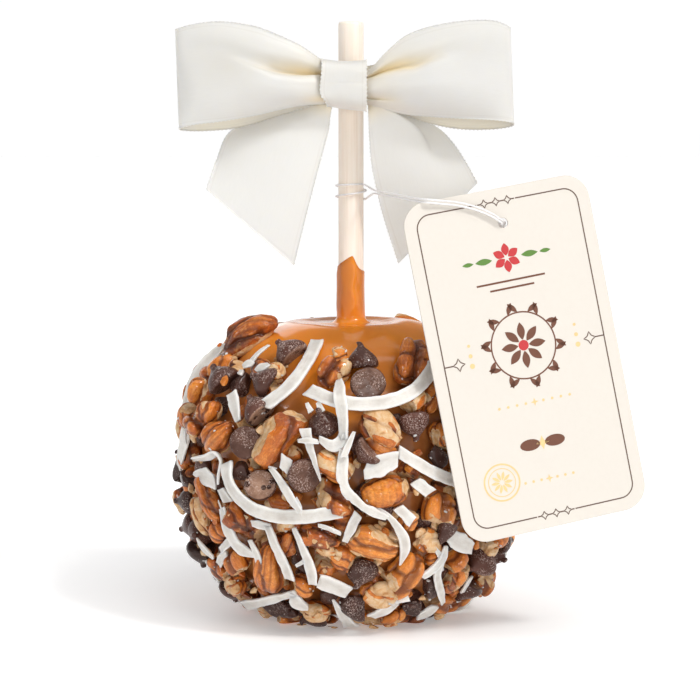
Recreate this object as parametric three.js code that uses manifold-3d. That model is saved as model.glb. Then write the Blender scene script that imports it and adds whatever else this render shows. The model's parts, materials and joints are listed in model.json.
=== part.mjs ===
// A caramel apple on a wooden stick: a caramel-dipped apple with a collar of caramel climbing the stick,
// a heap coat of chopped pecans, chocolate chips and coconut shavings, a satin bow tied round the stick,
// and a card tag hung from the stick on a doubled thread.
//
// Millimetres, +Z up. The origin is the centre of the flat foot, on the axis of the stick. The front is -Y.
// Toppings are placed by az (degrees round the stick, 0 at the front, positive to the right) and
// lat (degrees up from the apple's widest ring, seen from the middle of that ring).

import * as THREE from 'three';
import { mergeVertices } from 'three/addons/utils/BufferGeometryUtils.js';
import Module from 'manifold-3d';

const wasm = await Module();
wasm.setup();

// ---------- driving sizes ----------
const GAP = 0.3;               // between two pieces that touch

const APPLE_R = 38.5;          // caramel surface at the widest ring
const APPLE_WIDEST_Z = 39.0;   // height of that ring
const APPLE_RISE = 34.4;       // from the widest ring up to the crown
const APPLE_DROP = 40.0;       // from the widest ring down, before the foot is cut flat at z = 0
const CROWN_POWER = 2.5;       // squareness of the shoulder
const BASE_POWER = 2.3;        // squareness of the lower half

const COLLAR_R = 4.0;          // caramel that climbed the stick
const COLLAR_TOP = 88.3;
const COLLAR_FLARE = 2.6;      // how far the foot of the collar spreads

const STICK_D = 6.35;          // quarter-inch dowel
const STICK_LENGTH = 139.7;    // five and a half inches
const STICK_TOP = 148.5;

const COAT_BASE = 4.1;         // least thickness of the heap
const COAT_LUMP = 4.4;         // how far the highest lumps stand over that
const COAT_LUMPS = 300;
const COAT_LAT_LOW = -66;      // the heap reaches under the apple to here
const RIM_LAT = 46;            // upper edge of the heap all round
const RIM_DIP = 24;            // the heap's edge is lower at the front
const RIM_DIP_HALF = 24;       // half width of that dip, degrees

const RIBBON_W = 25.4;         // one-inch satin ribbon
const RIBBON_T = 0.7;
const BOW_Z = 132.6;           // height of the knot's middle
const KNOT = { x: -1.75, y: -9.3, w: 11.3, d: 10.2, h: 12.5 };
const STRAP_R = 4.7;           // ribbon drawn round the back of the stick
const STRAP_H = 9.0;
const LOOP_DEPTH = 12.0;       // front to back of an open loop
const LEFT_LOOP_X = -43.4;
const RIGHT_LOOP_X = 40.1;

const TAG_W = 46.0;
const TAG_H = 81.0;
const TAG_T = 0.6;
const TAG_CORNER = 6.0;
const TAG_HOLE_D = 2.4;
const TAG_HOLE = [0.8, 32.2];  // in the tag's own plane, from its middle
const TAG_TURN = 12;           // faces this far to the right of the front
const TAG_LEAN = 6;            // leans back at the top
const TAG_ROLL = 10.2;         // its right side stands higher
const TAG_REACH = 47.0;        // its face passes this far from the axis at the widest ring
const TAG_MIDDLE = [32.77, 63.08];   // its middle in that leaning plane: across, and up the slope

const THREAD_D = 0.5;
const THREAD_Z = 106.3;        // where it is hitched to the stick
const THREAD_SPREAD = 3.6;     // between its two turns on the stick

// ---------- small helpers ----------
const rad = THREE.MathUtils.degToRad;
const V = (x, y, z) => new THREE.Vector3(x, y, z);
const mix = THREE.MathUtils.lerp;
const smooth = (x, a, b) => THREE.MathUtils.smoothstep(x, a, b);

function random(seed) {
  let s = seed >>> 0;
  return () => {
    s = (s + 0x6d2b79f5) >>> 0;
    let t = Math.imul(s ^ (s >>> 15), 1 | s);
    t = (t + Math.imul(t ^ (t >>> 7), 61 | t)) ^ t;
    return ((t ^ (t >>> 14)) >>> 0) / 4294967296;
  };
}

// moves every vertex of a geometry by a function of its position
function formed(geometry, fn) {
  const p = geometry.attributes.position;
  const v = V(0, 0, 0);
  for (let i = 0; i < p.count; i++) {
    v.fromBufferAttribute(p, i);
    const q = fn(v.clone());
    p.setXYZ(i, q.x, q.y, q.z);
  }
  return geometry;
}

function solid(geometry) {
  const g = geometry.clone();
  g.deleteAttribute('normal');
  g.deleteAttribute('uv');
  const m = mergeVertices(g, 1e-4);
  const index = m.index.array;
  const tri = [];
  for (let i = 0; i < index.length; i += 3) {
    const [a, b, c] = [index[i], index[i + 1], index[i + 2]];
    if (a !== b && b !== c && c !== a) tri.push(a, b, c);
  }
  return new wasm.Manifold(new wasm.Mesh({
    numProp: 3,
    vertProperties: new Float32Array(m.attributes.position.array),
    triVerts: new Uint32Array(tri),
  }));
}

function largest(man) {
  const parts = man.decompose();
  let best = parts[0];
  for (const p of parts) if (p.volume() > best.volume()) best = p;
  return best;
}

function geometryOf(man) {
  const mesh = man.getMesh();
  const n = mesh.numProp;
  const pos = new Float32Array((mesh.vertProperties.length / n) * 3);
  for (let i = 0; i < pos.length / 3; i++) {
    for (let k = 0; k < 3; k++) pos[3 * i + k] = mesh.vertProperties[n * i + k];
  }
  const g = new THREE.BufferGeometry();
  g.setAttribute('position', new THREE.BufferAttribute(pos, 3));
  g.setIndex(new THREE.BufferAttribute(new Uint32Array(mesh.triVerts), 1));
  g.computeVertexNormals();
  return g;
}

const boxSolid = (x0, x1, y0, y1, z0, z1) => solid(
  new THREE.BoxGeometry(x1 - x0, y1 - y0, z1 - z0).translate((x0 + x1) / 2, (y0 + y1) / 2, (z0 + z1) / 2));

// ---------- the apple's caramel skin ----------
// distance out and height of the skin in the direction lat (degrees), with the outward direction there
function skin(lat) {
  const at = (deg) => {
    const c = Math.abs(Math.cos(rad(deg)));
    const s = Math.sin(rad(deg));
    const [b, p] = s >= 0 ? [APPLE_RISE, CROWN_POWER] : [APPLE_DROP, BASE_POWER];
    const rho = (Math.pow(c / APPLE_R, p) + Math.pow(Math.abs(s) / b, p)) ** (-1 / p);
    return [rho * c, APPLE_WIDEST_Z + rho * s];
  };
  const [r, z] = at(lat);
  const lo = Math.max(lat - 0.05, -89.9);
  const [r0, z0] = at(lo);
  const [r1, z1] = at(Math.min(lo + 0.1, 89.9));
  const l = Math.hypot(r1 - r0, z1 - z0);
  return { r, z, nr: (z1 - z0) / l, nz: -(r1 - r0) / l };
}

// a point at height h over the caramel, and the outward, rightward and upward directions there
function place(az, lat, h = 0) {
  const k = skin(lat);
  const a = rad(az);
  const r = k.r + k.nr * h;
  const out = V(k.nr * Math.sin(a), -k.nr * Math.cos(a), k.nz);
  const right = V(Math.cos(a), Math.sin(a), 0);
  return {
    p: V(r * Math.sin(a), -r * Math.cos(a), k.z + k.nz * h),
    out, right, up: V(0, 0, 0).crossVectors(out, right),
  };
}

// ---------- caramel apple ----------
function appleSolid(grow) {
  const pts = [];
  const rows = 13;
  for (let i = 0; i <= rows; i++) {
    const k = skin(mix(-88, 80, i / rows));
    pts.push(new THREE.Vector2(k.r + k.nr * grow, k.z + k.nz * grow));
  }
  pts.unshift(new THREE.Vector2(0, pts[0].y));
  const crown = skin(80);
  const rc = COLLAR_R + grow;
  for (const t of [0.0, 0.35, 0.7, 1.0]) {      // fillet from the crown into the collar
    const q = rad(90 * t);
    pts.push(new THREE.Vector2(
      rc + COLLAR_FLARE * (1 - Math.sin(q)),
      crown.z + grow + 0.1 + COLLAR_FLARE * (1 - Math.cos(q))));
  }
  pts.push(new THREE.Vector2(rc - 0.05, 81.5));
  pts.push(new THREE.Vector2(rc - 0.1, 85.0));
  pts.push(new THREE.Vector2(rc - 0.15, COLLAR_TOP + grow));
  pts.push(new THREE.Vector2(0, COLLAR_TOP + grow));
  const lathe = new THREE.LatheGeometry(pts, 36).rotateX(Math.PI / 2);
  // the collar's upper edge runs up to a point on the right of the front and hangs lower on the left
  formed(lathe, (v) => {
    if (v.z > 84.9 && Math.hypot(v.x, v.y) > 1) {
      const a = Math.atan2(v.x, -v.y);
      v.z += (v.z > 86 ? 1 : 0.4) * (1.25 * Math.cos(a - 0.15) + 0.55 * Math.cos(2 * a - 0.6)
        - 0.5 * Math.cos(3 * a + 0.8) - 0.4);
    }
    return v;
  });
  return solid(lathe);
}

const above = boxSolid(-90, 90, -90, 90, 0, 200);
const stickBottom = STICK_TOP - STICK_LENGTH;
const bore = solid(new THREE.CylinderGeometry(STICK_D / 2 + GAP, STICK_D / 2 + GAP, 100, 20)
  .rotateX(Math.PI / 2).translate(0, 0, stickBottom - GAP + 50));
const core = appleSolid(0).intersect(above).subtract(bore);
const coreClear = appleSolid(GAP);

// ---------- single toppings ----------
// each is made lying at the origin: length along x, width along y, its back on z = 0 side, grown by g all round
function pecanShape(L, W, H, g, seed) {
  const rnd = random(seed);
  const p1 = rnd() * 6, p2 = rnd() * 6;
  return formed(new THREE.SphereGeometry(1, 11, 6).rotateX(Math.PI / 2), (v) => {
    const a = Math.atan2(v.y, v.x);
    const edge = 1 + 0.07 * Math.cos(3 * a + p1) + 0.05 * Math.cos(5 * a + p2);
    const taper = 1 - 0.16 * v.x;
    const groove = v.z > 0 ? 0.26 * Math.exp(-((v.y / 0.24) ** 2)) * (1 - v.x * v.x * 0.6) : 0;
    return V(v.x * edge * (L / 2 + g), v.y * edge * taper * (W / 2 + g), (v.z - groove * (g ? 0.8 : 1)) * (H / 2 + g));
  });
}

function chipShape(D, H, g) {
  const prof = [[0, 0], [0.46, 0.03], [0.49, 0.22], [0.36, 0.53], [0.17, 0.82], [0.07, 0.97], [0, 1.02]];
  return new THREE.LatheGeometry(prof.map(([r, z], i) => new THREE.Vector2(
    r === 0 ? 0 : r * D + g, z * H + (i < 2 ? -g : i > 4 ? g : 0) - 0.4 * H)), 8).rotateX(Math.PI / 2);
}

// a shaving of coconut: a flat strip that follows a line of [az, lat, height] over the apple
function shavingShape(line, width, thick, g) {
  const curve = new THREE.CatmullRomCurve3(line.map(([az, lat, h]) => place(az, lat, h).p));
  const outs = line.map(([az, lat]) => place(az, lat).out);
  const n = Math.max(6, 3 * (line.length - 1));
  const l = curve.getLength();
  return formed(new THREE.BoxGeometry(1, 1, 1, n, 1, 1), (v) => {
    const u = THREE.MathUtils.clamp(v.x + 0.5, 0, 1);
    const f = u * (line.length - 1);
    const i = Math.min(Math.floor(f), line.length - 2);
    const out = outs[i].clone().lerp(outs[i + 1], f - i).normalize();
    const t = curve.getTangent(u);
    const side = V(0, 0, 0).crossVectors(out, t).normalize();
    const n2 = V(0, 0, 0).crossVectors(t, side).normalize();
    const narrow = 0.55 + 0.45 * Math.sin(Math.PI * mix(0.12, 0.88, u));
    return curve.getPoint(u)
      .addScaledVector(t, v.x * 2 * g * (l > 0 ? 1 : 0))
      .addScaledVector(side, v.y * (width * narrow + 2 * g))
      .addScaledVector(n2, v.z * (thick + 2 * g));
  });
}

// name, kind, az, lat, height of its middle over the caramel, spin (0 lies level, 90 points up), length, width, height
const TOPPINGS = [
  ['pecan_shoulder_left', 'pecan', -69, 48.5, 3.6, 62, 17.5, 9.5, 7.5],
  ['chip_shoulder_left', 'chip', -30.6, 44.5, 3.2, 0, 8.2, 6.4],
  ['pecan_rim_mid', 'pecan', -6.6, 38.0, 2.9, 70, 11.2, 7.2, 5.8],
  ['chip_rim_tip', 'chip', 5.2, 42.2, 3.1, 0, 7.4, 6.4],
  ['chip_rim_disc', 'chip', 6.0, 32.0, 3.6, 0, 8.2, 5.8],
  ['pecan_rim_right', 'pecan', 26.4, 40.0, 3.4, 62, 15.0, 8.8, 7.2],
  ['chip_shoulder_far', 'chip', -57, 31, 4.6, 0, 8.6, 6.4],
  ['chip_upper_left', 'chip', -34.0, 31.6, 4.4, 0, 8.0, 6.0],
  ['pecan_cup_left', 'pecan', -23.5, 14.5, 5.4, 55, 18.0, 9.5, 7.0],
  ['chip_front_mid', 'chip', -9.3, 20.0, 4.6, 0, 7.6, 6.2],
  ['pecan_front_mid', 'pecan', 9.6, 16.8, 5.2, -35, 12.6, 8.4, 6.4],
  ['pecan_front_striped', 'pecan', 11.4, -2.0, 5.2, 6, 13.2, 8.0, 7.0],
  ['pecan_front_low', 'pecan', 7.2, -19.5, 5.2, -35, 16.0, 9.5, 7.0],
  ['pecan_tall_low', 'pecan', -30, -30.5, 5.0, 82, 16.5, 7.5, 6.5],
  ['pecan_foot_right', 'pecan', 17.9, -31, 4.8, 62, 14.0, 9.0, 7.0],
  ['chip_front_pale', 'chip', -15.5, 3.2, 4.8, 0, 8.4, 6.2],
];

// name, line of [az, lat, height], width, thickness
const SHAVINGS = [
  ['coconut_curl_left', [[-19.8, 49.5, 1.9], [-18.9, 38.5, 3.4], [-22.2, 30.5, 5.2], [-29, 25.5, 6.2]], 3.5, 1.0],
  ['coconut_arc_front', [[-14.6, 28.6, 5.6], [-5.5, 25.2, 7.4], [3, 24.0, 7.6], [12, 24.8, 7.4], [20.8, 27.6, 6.8], [29.1, 33, 6.2], [34.6, 38.5, 5.2]], 3.3, 1.0],
  ['coconut_sweep_left', [[-45, 4.9, 6.6], [-40.4, -2.9, 8.0], [-33.3, -8.8, 8.4], [-21.6, -11.1, 8.2], [-9.9, -10.9, 7.6], [-3.2, -9.4, 6.8]], 3.0, 1.0],
  ['coconut_wave_front', [[-2.3, 11.4, 7.2], [-2.2, 0.6, 8.2], [3.2, -6.0, 8.4], [10.5, -10.2, 7.6]], 2.6, 1.0],
];

const placed = [];          // what later pieces keep clear of
const toppingMeshes = [];

function addTopping(name, shape, shapeClear, material) {
  let m = solid(shape);
  m = m.subtract(coreClear);
  for (const q of placed) m = m.subtract(q.clear);
  m = largest(m.intersect(above));
  const clear = solid(shapeClear);
  placed.push({ name, clear });
  toppingMeshes.push([name, m, material]);
}

function oriented(shape, az, lat, h, spin) {
  const f = place(az, lat, h);
  const x = f.right.clone().multiplyScalar(Math.cos(rad(spin))).addScaledVector(f.up, Math.sin(rad(spin)));
  const y = V(0, 0, 0).crossVectors(f.out, x);
  const m = new THREE.Matrix4().makeBasis(x, y, f.out).setPosition(f.p);
  return shape.applyMatrix4(m);
}

// ---------- materials ----------
const look = (color, roughness, metalness = 0) => new THREE.MeshStandardMaterial({ color, roughness, metalness });
const CARAMEL = look('#b9621b', 0.16);
const PECAN = look('#a4622c', 0.5);
const CHIP = look('#3a2119', 0.4);
const COCONUT = look('#f3f1ea', 0.55);
const HEAP = look('#8a5a34', 0.55);
const STICK = look('#efd9c2', 0.6);
const SATIN = look('#f1efe6', 0.35);
const CARD = look('#fbf5e4', 0.7);
const THREAD = look('#eae6e2', 0.6);

SHAVINGS.forEach(([name, line, w, t]) =>
  addTopping(name, shavingShape(line, w, t, 0), shavingShape(line, w, t, GAP), COCONUT));
TOPPINGS.forEach(([name, kind, az, lat, h, spin, a, b, c], i) => {
  const make = (g) => oriented(kind === 'pecan' ? pecanShape(a, b, c, g, 11 + i) : chipShape(a, b, g), az, lat, h, spin);
  addTopping(name, make(0), make(GAP), kind === 'pecan' ? PECAN : CHIP);
});

// ---------- the heap coat ----------
const rimLat = (az) => {
  const d = (((az + 180) % 360) + 360) % 360 - 180;
  return RIM_LAT - RIM_DIP * Math.exp(-((d / RIM_DIP_HALF) ** 2)) + 2.5 * Math.sin(rad(3 * az + 40)) + 1.5 * Math.sin(rad(7 * az));
};
const rnd = random(2024);
const lumps = Array.from({ length: COAT_LUMPS }, (_, i) => {
  const s = mix(Math.sin(rad(COAT_LAT_LOW)), Math.sin(rad(58)), (i + 0.5) / COAT_LUMPS);
  const lat = THREE.MathUtils.radToDeg(Math.asin(s));
  return {
    p: place(i * 137.508 + 14 * (rnd() - 0.5), lat + 4 * (rnd() - 0.5), 3).p,
    r: mix(3.2, 5.6, rnd()), h: mix(0.05, 1, rnd()), k: rnd() * Math.PI, e: mix(1, 1.6, rnd()),
  };
});
function heapHeight(az, lat) {
  const f = place(az, lat, 3);
  let best = 0;
  for (const l of lumps) {
    if (Math.abs(l.p.z - f.p.z) > 12) continue;
    const d = f.p.clone().sub(l.p);
    const x = d.dot(f.right), y = d.dot(f.up);
    const c = Math.cos(l.k), s = Math.sin(l.k);
    const q = ((x * c + y * s) / (l.r * l.e)) ** 2 + ((y * c - x * s) / l.r) ** 2 + (d.dot(f.out) / 9) ** 2;
    if (q < 1) best = Math.max(best, l.h * Math.sqrt(1 - q));
  }
  const full = COAT_BASE + COAT_LUMP * best;
  const top = 1 - smooth(lat, rimLat(az) - 2.5, rimLat(az) + 2.5);
  const low = smooth(lat, COAT_LAT_LOW - 6, COAT_LAT_LOW + 10);
  return mix(-2.5, full, top) * low + (1 - low) * 1.0 * top;
}
const heapShape = formed(new THREE.SphereGeometry(1, 62, 24).rotateX(Math.PI / 2), (v) => {
  const az = THREE.MathUtils.radToDeg(Math.atan2(v.x, -v.y));
  const lat = THREE.MathUtils.radToDeg(Math.asin(THREE.MathUtils.clamp(v.z, -1, 1)));
  if (Math.abs(lat) > 89) return V(0, 0, lat > 0 ? APPLE_WIDEST_Z + APPLE_RISE - 3 : -1.5);
  return place(az, lat, heapHeight(az, lat)).p;
});

// the tag's leaning plane
const TAG_OUT = V(Math.sin(rad(TAG_TURN)) * Math.cos(rad(TAG_LEAN)), -Math.cos(rad(TAG_TURN)) * Math.cos(rad(TAG_LEAN)), Math.sin(rad(TAG_LEAN)));
const TAG_ACROSS = V(Math.cos(rad(TAG_TURN)), Math.sin(rad(TAG_TURN)), 0);
const TAG_UP = V(0, 0, 0).crossVectors(TAG_OUT, TAG_ACROSS);
const TAG_FACE = TAG_REACH + APPLE_WIDEST_Z * Math.sin(rad(TAG_LEAN));     // distance of its face from the origin

let coat = solid(heapShape).simplify(0.22).subtract(coreClear).intersect(above);
for (const q of placed) coat = coat.subtract(q.clear);
const behindTag = boxSolid(-200, 200, -200, 200, -200, 0);
{
  const m = new THREE.Matrix4().makeBasis(TAG_ACROSS, TAG_UP, TAG_OUT).setPosition(TAG_OUT.clone().multiplyScalar(TAG_FACE - TAG_T - GAP));
  coat = coat.intersect(behindTag.transform(m.toArray()));
}
coat = largest(coat);

// ---------- stick ----------
const stickShape = new THREE.LatheGeometry([
  [0, 0], [STICK_D / 2 - 0.3, 0], [STICK_D / 2, 0.3], [STICK_D / 2, STICK_LENGTH - 0.35], [STICK_D / 2 - 0.35, STICK_LENGTH], [0, STICK_LENGTH],
].map(([r, z]) => new THREE.Vector2(r, z)), 20).rotateX(Math.PI / 2).translate(0, 0, stickBottom);

// ---------- bow ----------
// a slab of ribbon that follows a middle surface fn(u, v): u along the ribbon, v across it, both 0 to 1
function ribbonShape(fn, nu, nv) {
  const e = 1e-3;
  return formed(new THREE.BoxGeometry(1, 1, 1, nu, nv, 1), (q) => {
    const u = q.x + 0.5, v = q.y + 0.5;
    const du = fn(Math.min(1, u + e), v).sub(fn(Math.max(0, u - e), v));
    const dv = fn(u, Math.min(1, v + e)).sub(fn(u, Math.max(0, v - e)));
    return fn(u, v).addScaledVector(du.cross(dv).normalize(), q.z * RIBBON_T);
  });
}

// a loop: from the knot along its front layer, round the outer fold and back along its rear layer
function loopSurface(side, outerX, topZ, bottomZ) {
  const x0 = KNOT.x + side * (KNOT.w / 2 + GAP + RIBBON_T / 2);
  const yMid = KNOT.y - 0.4;
  return (u, v) => {
    const a = Math.PI * u;
    const reach = Math.sin(a);                            // 0 at the knot, 1 at the fold
    const x = mix(x0, outerX, reach);
    const half = mix(1.3, LOOP_DEPTH / 2, smooth(reach, 0.0, 0.62));
    const y = yMid - half * Math.cos(a);
    const open = smooth(reach, -0.12, 0.62);
    const back = smooth(u, 0.5, 0.75) * smooth(reach, 0, 0.4);
    const top = mix(BOW_Z + 5.2, topZ, open) - 0.8 * back;
    const bottom = mix(BOW_Z - 5.2, bottomZ, open) - 1.6 * back;
    return V(x, y, mix(bottom, top, v));
  };
}

function edgeCurve(pts) {
  return new THREE.CatmullRomCurve3(pts.map(([x, y, z]) => V(x, y, z)));
}

// a tail between its two woven edges, both from the knot down to the slanting cut
function tailSurface(leftEdge, rightEdge, swell) {
  const a = edgeCurve(leftEdge), b = edgeCurve(rightEdge);
  return (u, v) => {
    const p = a.getPoint(u).lerp(b.getPoint(u), v);
    p.y -= swell * Math.sin(Math.PI * v) * Math.sin(Math.PI * Math.min(1, u * 1.25)) ** 2;
    return p;
  };
}

const kb = BOW_Z - KNOT.h / 2 - GAP - RIBBON_T / 2;     // just under the knot
const leftLoop = ribbonShape(loopSurface(-1, LEFT_LOOP_X, 148.0, 122.9), 22, 3);
const rightLoop = ribbonShape((u, v) => loopSurface(1, RIGHT_LOOP_X, 148.4, 123.0)(1 - u, v), 22, 3);
const leftTail = ribbonShape(tailSurface(
  [[-6.6, -8.2, kb], [-14, -3.8, 124.2], [-24, -2.2, 122.4], [-31, -3.2, 119.6], [-34, -6.0, 113.5], [-35.8, -8.0, 106.9]],
  [[-4.7, -8.8, kb - 0.2], [-5.0, -9.0, 122.8], [-5.9, -9.6, 118.5], [-7.2, -10.2, 112.5], [-10.4, -10.6, 101], [-14.2, -10.9, 88.3]], 1.0), 8, 4);
const rightTail = ribbonShape(tailSurface(
  [[4.1, -8.6, kb - 0.2], [4.5, -8.2, 121], [4.9, -6.8, 114], [6.1, -5.4, 105.5], [8.7, -4.7, 97], [12.4, -4.4, 88.3]],
  [[5.9, -7.8, kb], [12.5, -4.4, 124.0], [19, -2.6, 122.4], [23.6, -3.2, 120.4], [27.5, -5.2, 116.2], [32, -7.0, 108.4]], 3.0), 8, 4);

const KNOT_POWER = 5;          // squareness of the knot seen from the front
const knotBlock = solid(formed(new THREE.SphereGeometry(1, 16, 10), (v) => {
  const n = KNOT_POWER;
  const l = (Math.abs(v.x) ** n + Math.abs(v.y) ** n + Math.abs(v.z) ** n) ** (-1 / n);
  return V(KNOT.x + v.x * l * KNOT.w / 2, KNOT.y + v.y * l * KNOT.d / 2, BOW_Z + v.z * l * KNOT.h / 2);
}));
const strapOutline = new THREE.Shape().absarc(0, 0, STRAP_R, 0, Math.PI * 2);
strapOutline.holes.push(new THREE.Path().absarc(0, 0, STICK_D / 2 + GAP, 0, Math.PI * 2, true));
const strap = solid(new THREE.ExtrudeGeometry(strapOutline, { depth: STRAP_H, bevelEnabled: false, curveSegments: 10 })
  .translate(0, 0, BOW_Z - STRAP_H / 2));
const stickClear = solid(new THREE.CylinderGeometry(STICK_D / 2 + GAP, STICK_D / 2 + GAP, 60, 20).rotateX(Math.PI / 2).translate(0, 0, BOW_Z));
let knot = knotBlock.add(strap).subtract(stickClear);

// ---------- tag ----------
const tagOutline = new THREE.Shape();
{
  const w = TAG_W / 2, h = TAG_H / 2, c = TAG_CORNER;
  tagOutline.moveTo(-w + c, -h).lineTo(w - c, -h).absarc(w - c, -h + c, c, -Math.PI / 2, 0)
    .lineTo(w, h - c).absarc(w - c, h - c, c, 0, Math.PI / 2)
    .lineTo(-w + c, h).absarc(-w + c, h - c, c, Math.PI / 2, Math.PI)
    .lineTo(-w, -h + c).absarc(-w + c, -h + c, c, Math.PI, 1.5 * Math.PI);
  tagOutline.holes.push(new THREE.Path().absarc(TAG_HOLE[0], TAG_HOLE[1], TAG_HOLE_D / 2, 0, Math.PI * 2, true));
}
const tagShape = new THREE.ExtrudeGeometry(tagOutline, { depth: TAG_T, bevelEnabled: false, curveSegments: 5 });
const tagMiddle = TAG_OUT.clone().multiplyScalar(TAG_FACE)
  .addScaledVector(TAG_ACROSS, TAG_MIDDLE[0]).addScaledVector(TAG_UP, TAG_MIDDLE[1]);
const tagX = TAG_ACROSS.clone().multiplyScalar(Math.cos(rad(TAG_ROLL))).addScaledVector(TAG_UP, Math.sin(rad(TAG_ROLL)));
const tagY = TAG_UP.clone().multiplyScalar(Math.cos(rad(TAG_ROLL))).addScaledVector(TAG_ACROSS, -Math.sin(rad(TAG_ROLL)));

// ---------- thread ----------
const hole = tagMiddle.clone().addScaledVector(tagX, TAG_HOLE[0]).addScaledVector(tagY, TAG_HOLE[1]);
const turnR = STICK_D / 2 + GAP + THREAD_D / 2 + 0.05;
const KNOT_BEAD_R = 1.5;
function threadPoints() {
  const pts = [];
  // each strand leaves the knot behind the card, comes through the hole, lies over the card's upper left corner
  // and runs back to the stick; s is -1 for the upper strand and +1 for the lower one
  const strand = (s) => {
    const onCard = (across, up, d) => tagMiddle.clone().addScaledVector(tagX, across)
      .addScaledVector(tagY, up).addScaledVector(TAG_OUT, d);
    const [hx, hy] = TAG_HOLE;
    return [
      onCard(hx - 0.3 * s, hy - 0.3 * s, -TAG_T - 0.6), onCard(hx - 0.3 * s, hy - 0.3 * s, -TAG_T / 2),
      onCard(hx - 0.5, hy + 0.4 - 0.42 * s, 0.75),
      onCard(-1.9, 34.6 - 0.42 * s, 0.85), onCard(-5.0, 36.6 - 0.42 * s, 0.8),
      onCard(-9.5, 38.6 - 0.4 * s, 0.8), onCard(-13.4, 39.7 - 0.38 * s, 0.9), onCard(-16.9, 40.7 - 0.36 * s, 0.9),
      V(13.6, -31.5, 105.4 - 0.36 * s), V(10.3, -21.0, 105.9 - 0.36 * s), V(7.4, -12.0, 106.2 - 0.4 * s),
      V(5.5, -6.0, THREAD_Z + 0.1 - 0.5 * s),
    ];
  };
  pts.push(...strand(-1));
  const turns = 2, steps = 13;                  // two turns on the stick, from the right, across the front first
  for (let i = 0; i <= turns * steps; i++) {
    const q = i / steps;
    const a = rad(52) - 2 * Math.PI * q * 0.97;
    const z = THREAD_Z + THREAD_SPREAD / 2 * Math.cos(Math.PI * q / turns) * 1.05;
    pts.push(V(turnR * Math.sin(a), -turnR * Math.cos(a), z));
  }
  pts.push(...strand(1).reverse());
  return pts;
}
const threadCurve = new THREE.CatmullRomCurve3(threadPoints(), false, 'centripetal');
const threadSection = new THREE.Shape().absarc(0, 0, THREAD_D / 2, 0, Math.PI * 2);
const threadShape = new THREE.ExtrudeGeometry(threadSection, { steps: 60, curveSegments: 4, bevelEnabled: false, extrudePath: threadCurve });
const beadMiddle = hole.clone().addScaledVector(TAG_OUT, -TAG_T - GAP - KNOT_BEAD_R - 0.45);
const beadShape = formed(new THREE.SphereGeometry(KNOT_BEAD_R, 12, 8), (v) => V(v.x, v.y, v.z * 0.85)).translate(beadMiddle.x, beadMiddle.y, beadMiddle.z);

// ---------- the object ----------
const object = new THREE.Group();
function add(name, geometry, material) {
  const mesh = new THREE.Mesh(geometry, material);
  mesh.name = name;
  object.add(mesh);
  return mesh;
}

add('caramel_apple', geometryOf(core), CARAMEL);
add('topping_coat', geometryOf(coat), HEAP);
for (const [name, m, material] of toppingMeshes) add(name, geometryOf(m), material);
add('stick', stickShape, STICK);
add('bow_knot', geometryOf(knot), SATIN);
add('bow_loop_left', leftLoop, SATIN);
add('bow_loop_right', rightLoop, SATIN);
add('bow_tail_left', leftTail, SATIN);
add('bow_tail_right', rightTail, SATIN);
const tag = add('tag', tagShape, CARD);
tag.matrixAutoUpdate = false;
tag.matrix.makeBasis(tagX, tagY, TAG_OUT).setPosition(tagMiddle.clone().addScaledVector(TAG_OUT, -TAG_T));
add('tag_thread', threadShape, THREAD);
add('thread_knot', beadShape, THREAD);

export default object;
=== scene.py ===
import bpy, bmesh, json, math
import numpy as np
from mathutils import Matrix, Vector

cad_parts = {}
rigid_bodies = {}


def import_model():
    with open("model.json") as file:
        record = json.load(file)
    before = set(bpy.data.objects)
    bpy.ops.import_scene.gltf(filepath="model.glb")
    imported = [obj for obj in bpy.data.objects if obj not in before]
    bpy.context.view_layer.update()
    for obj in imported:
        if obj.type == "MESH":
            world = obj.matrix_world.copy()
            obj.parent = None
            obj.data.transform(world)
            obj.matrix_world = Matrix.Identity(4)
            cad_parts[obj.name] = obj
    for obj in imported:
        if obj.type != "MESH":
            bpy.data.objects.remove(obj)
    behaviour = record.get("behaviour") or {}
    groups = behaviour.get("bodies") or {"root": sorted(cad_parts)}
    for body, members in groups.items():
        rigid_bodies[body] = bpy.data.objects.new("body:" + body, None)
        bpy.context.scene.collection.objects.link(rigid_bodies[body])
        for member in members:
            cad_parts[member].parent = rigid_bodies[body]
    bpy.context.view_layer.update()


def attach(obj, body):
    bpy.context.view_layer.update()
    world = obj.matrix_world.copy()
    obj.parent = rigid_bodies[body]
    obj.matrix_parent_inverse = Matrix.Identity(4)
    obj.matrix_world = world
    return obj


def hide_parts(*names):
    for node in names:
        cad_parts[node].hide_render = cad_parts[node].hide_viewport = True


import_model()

# All sizes below are millimetres in the frame's axes; a mesh is scaled to metres when it is made.
rad, deg = math.radians, math.degrees

# ------------------------------------------------------------------ sizes shared with the solids
APPLE_R, WIDEST_Z, RISE, DROP, CROWN_P, BASE_P = 38.5, 39.0, 34.4, 40.0, 2.5, 2.3
COLLAR_R, COLLAR_TOP, COLLAR_FLARE = 3.62, 88.3, 1.9
STICK_R, STICK_LEN, STICK_TOP = 3.175, 139.7, 148.5
RIM_LAT, RIM_DIP, RIM_DIP_HALF = 46.0, 24.0, 24.0
BOW_Z = 132.6
TAG_W, TAG_H, TAG_T, TAG_CORNER, TAG_HOLE, TAG_HOLE_R = 46.0, 81.0, 0.6, 6.0, (0.8, 32.2), 1.2
TAG_TURN, TAG_LEAN, TAG_ROLL, TAG_REACH, TAG_MIDDLE = 12.0, 6.0, 10.2, 47.0, (32.77, 63.08)
THREAD_D, THREAD_Z, THREAD_SPREAD, GAP = 0.5, 106.3, 3.6, 0.3

# ------------------------------------------------------------------ numbers
def smooth(x, a, b):
    t = np.clip((np.asarray(x, float) - a) / (b - a), 0, 1)
    return t * t * (3 - 2 * t)


def mixn(a, b, t):
    return a + (b - a) * t


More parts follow.
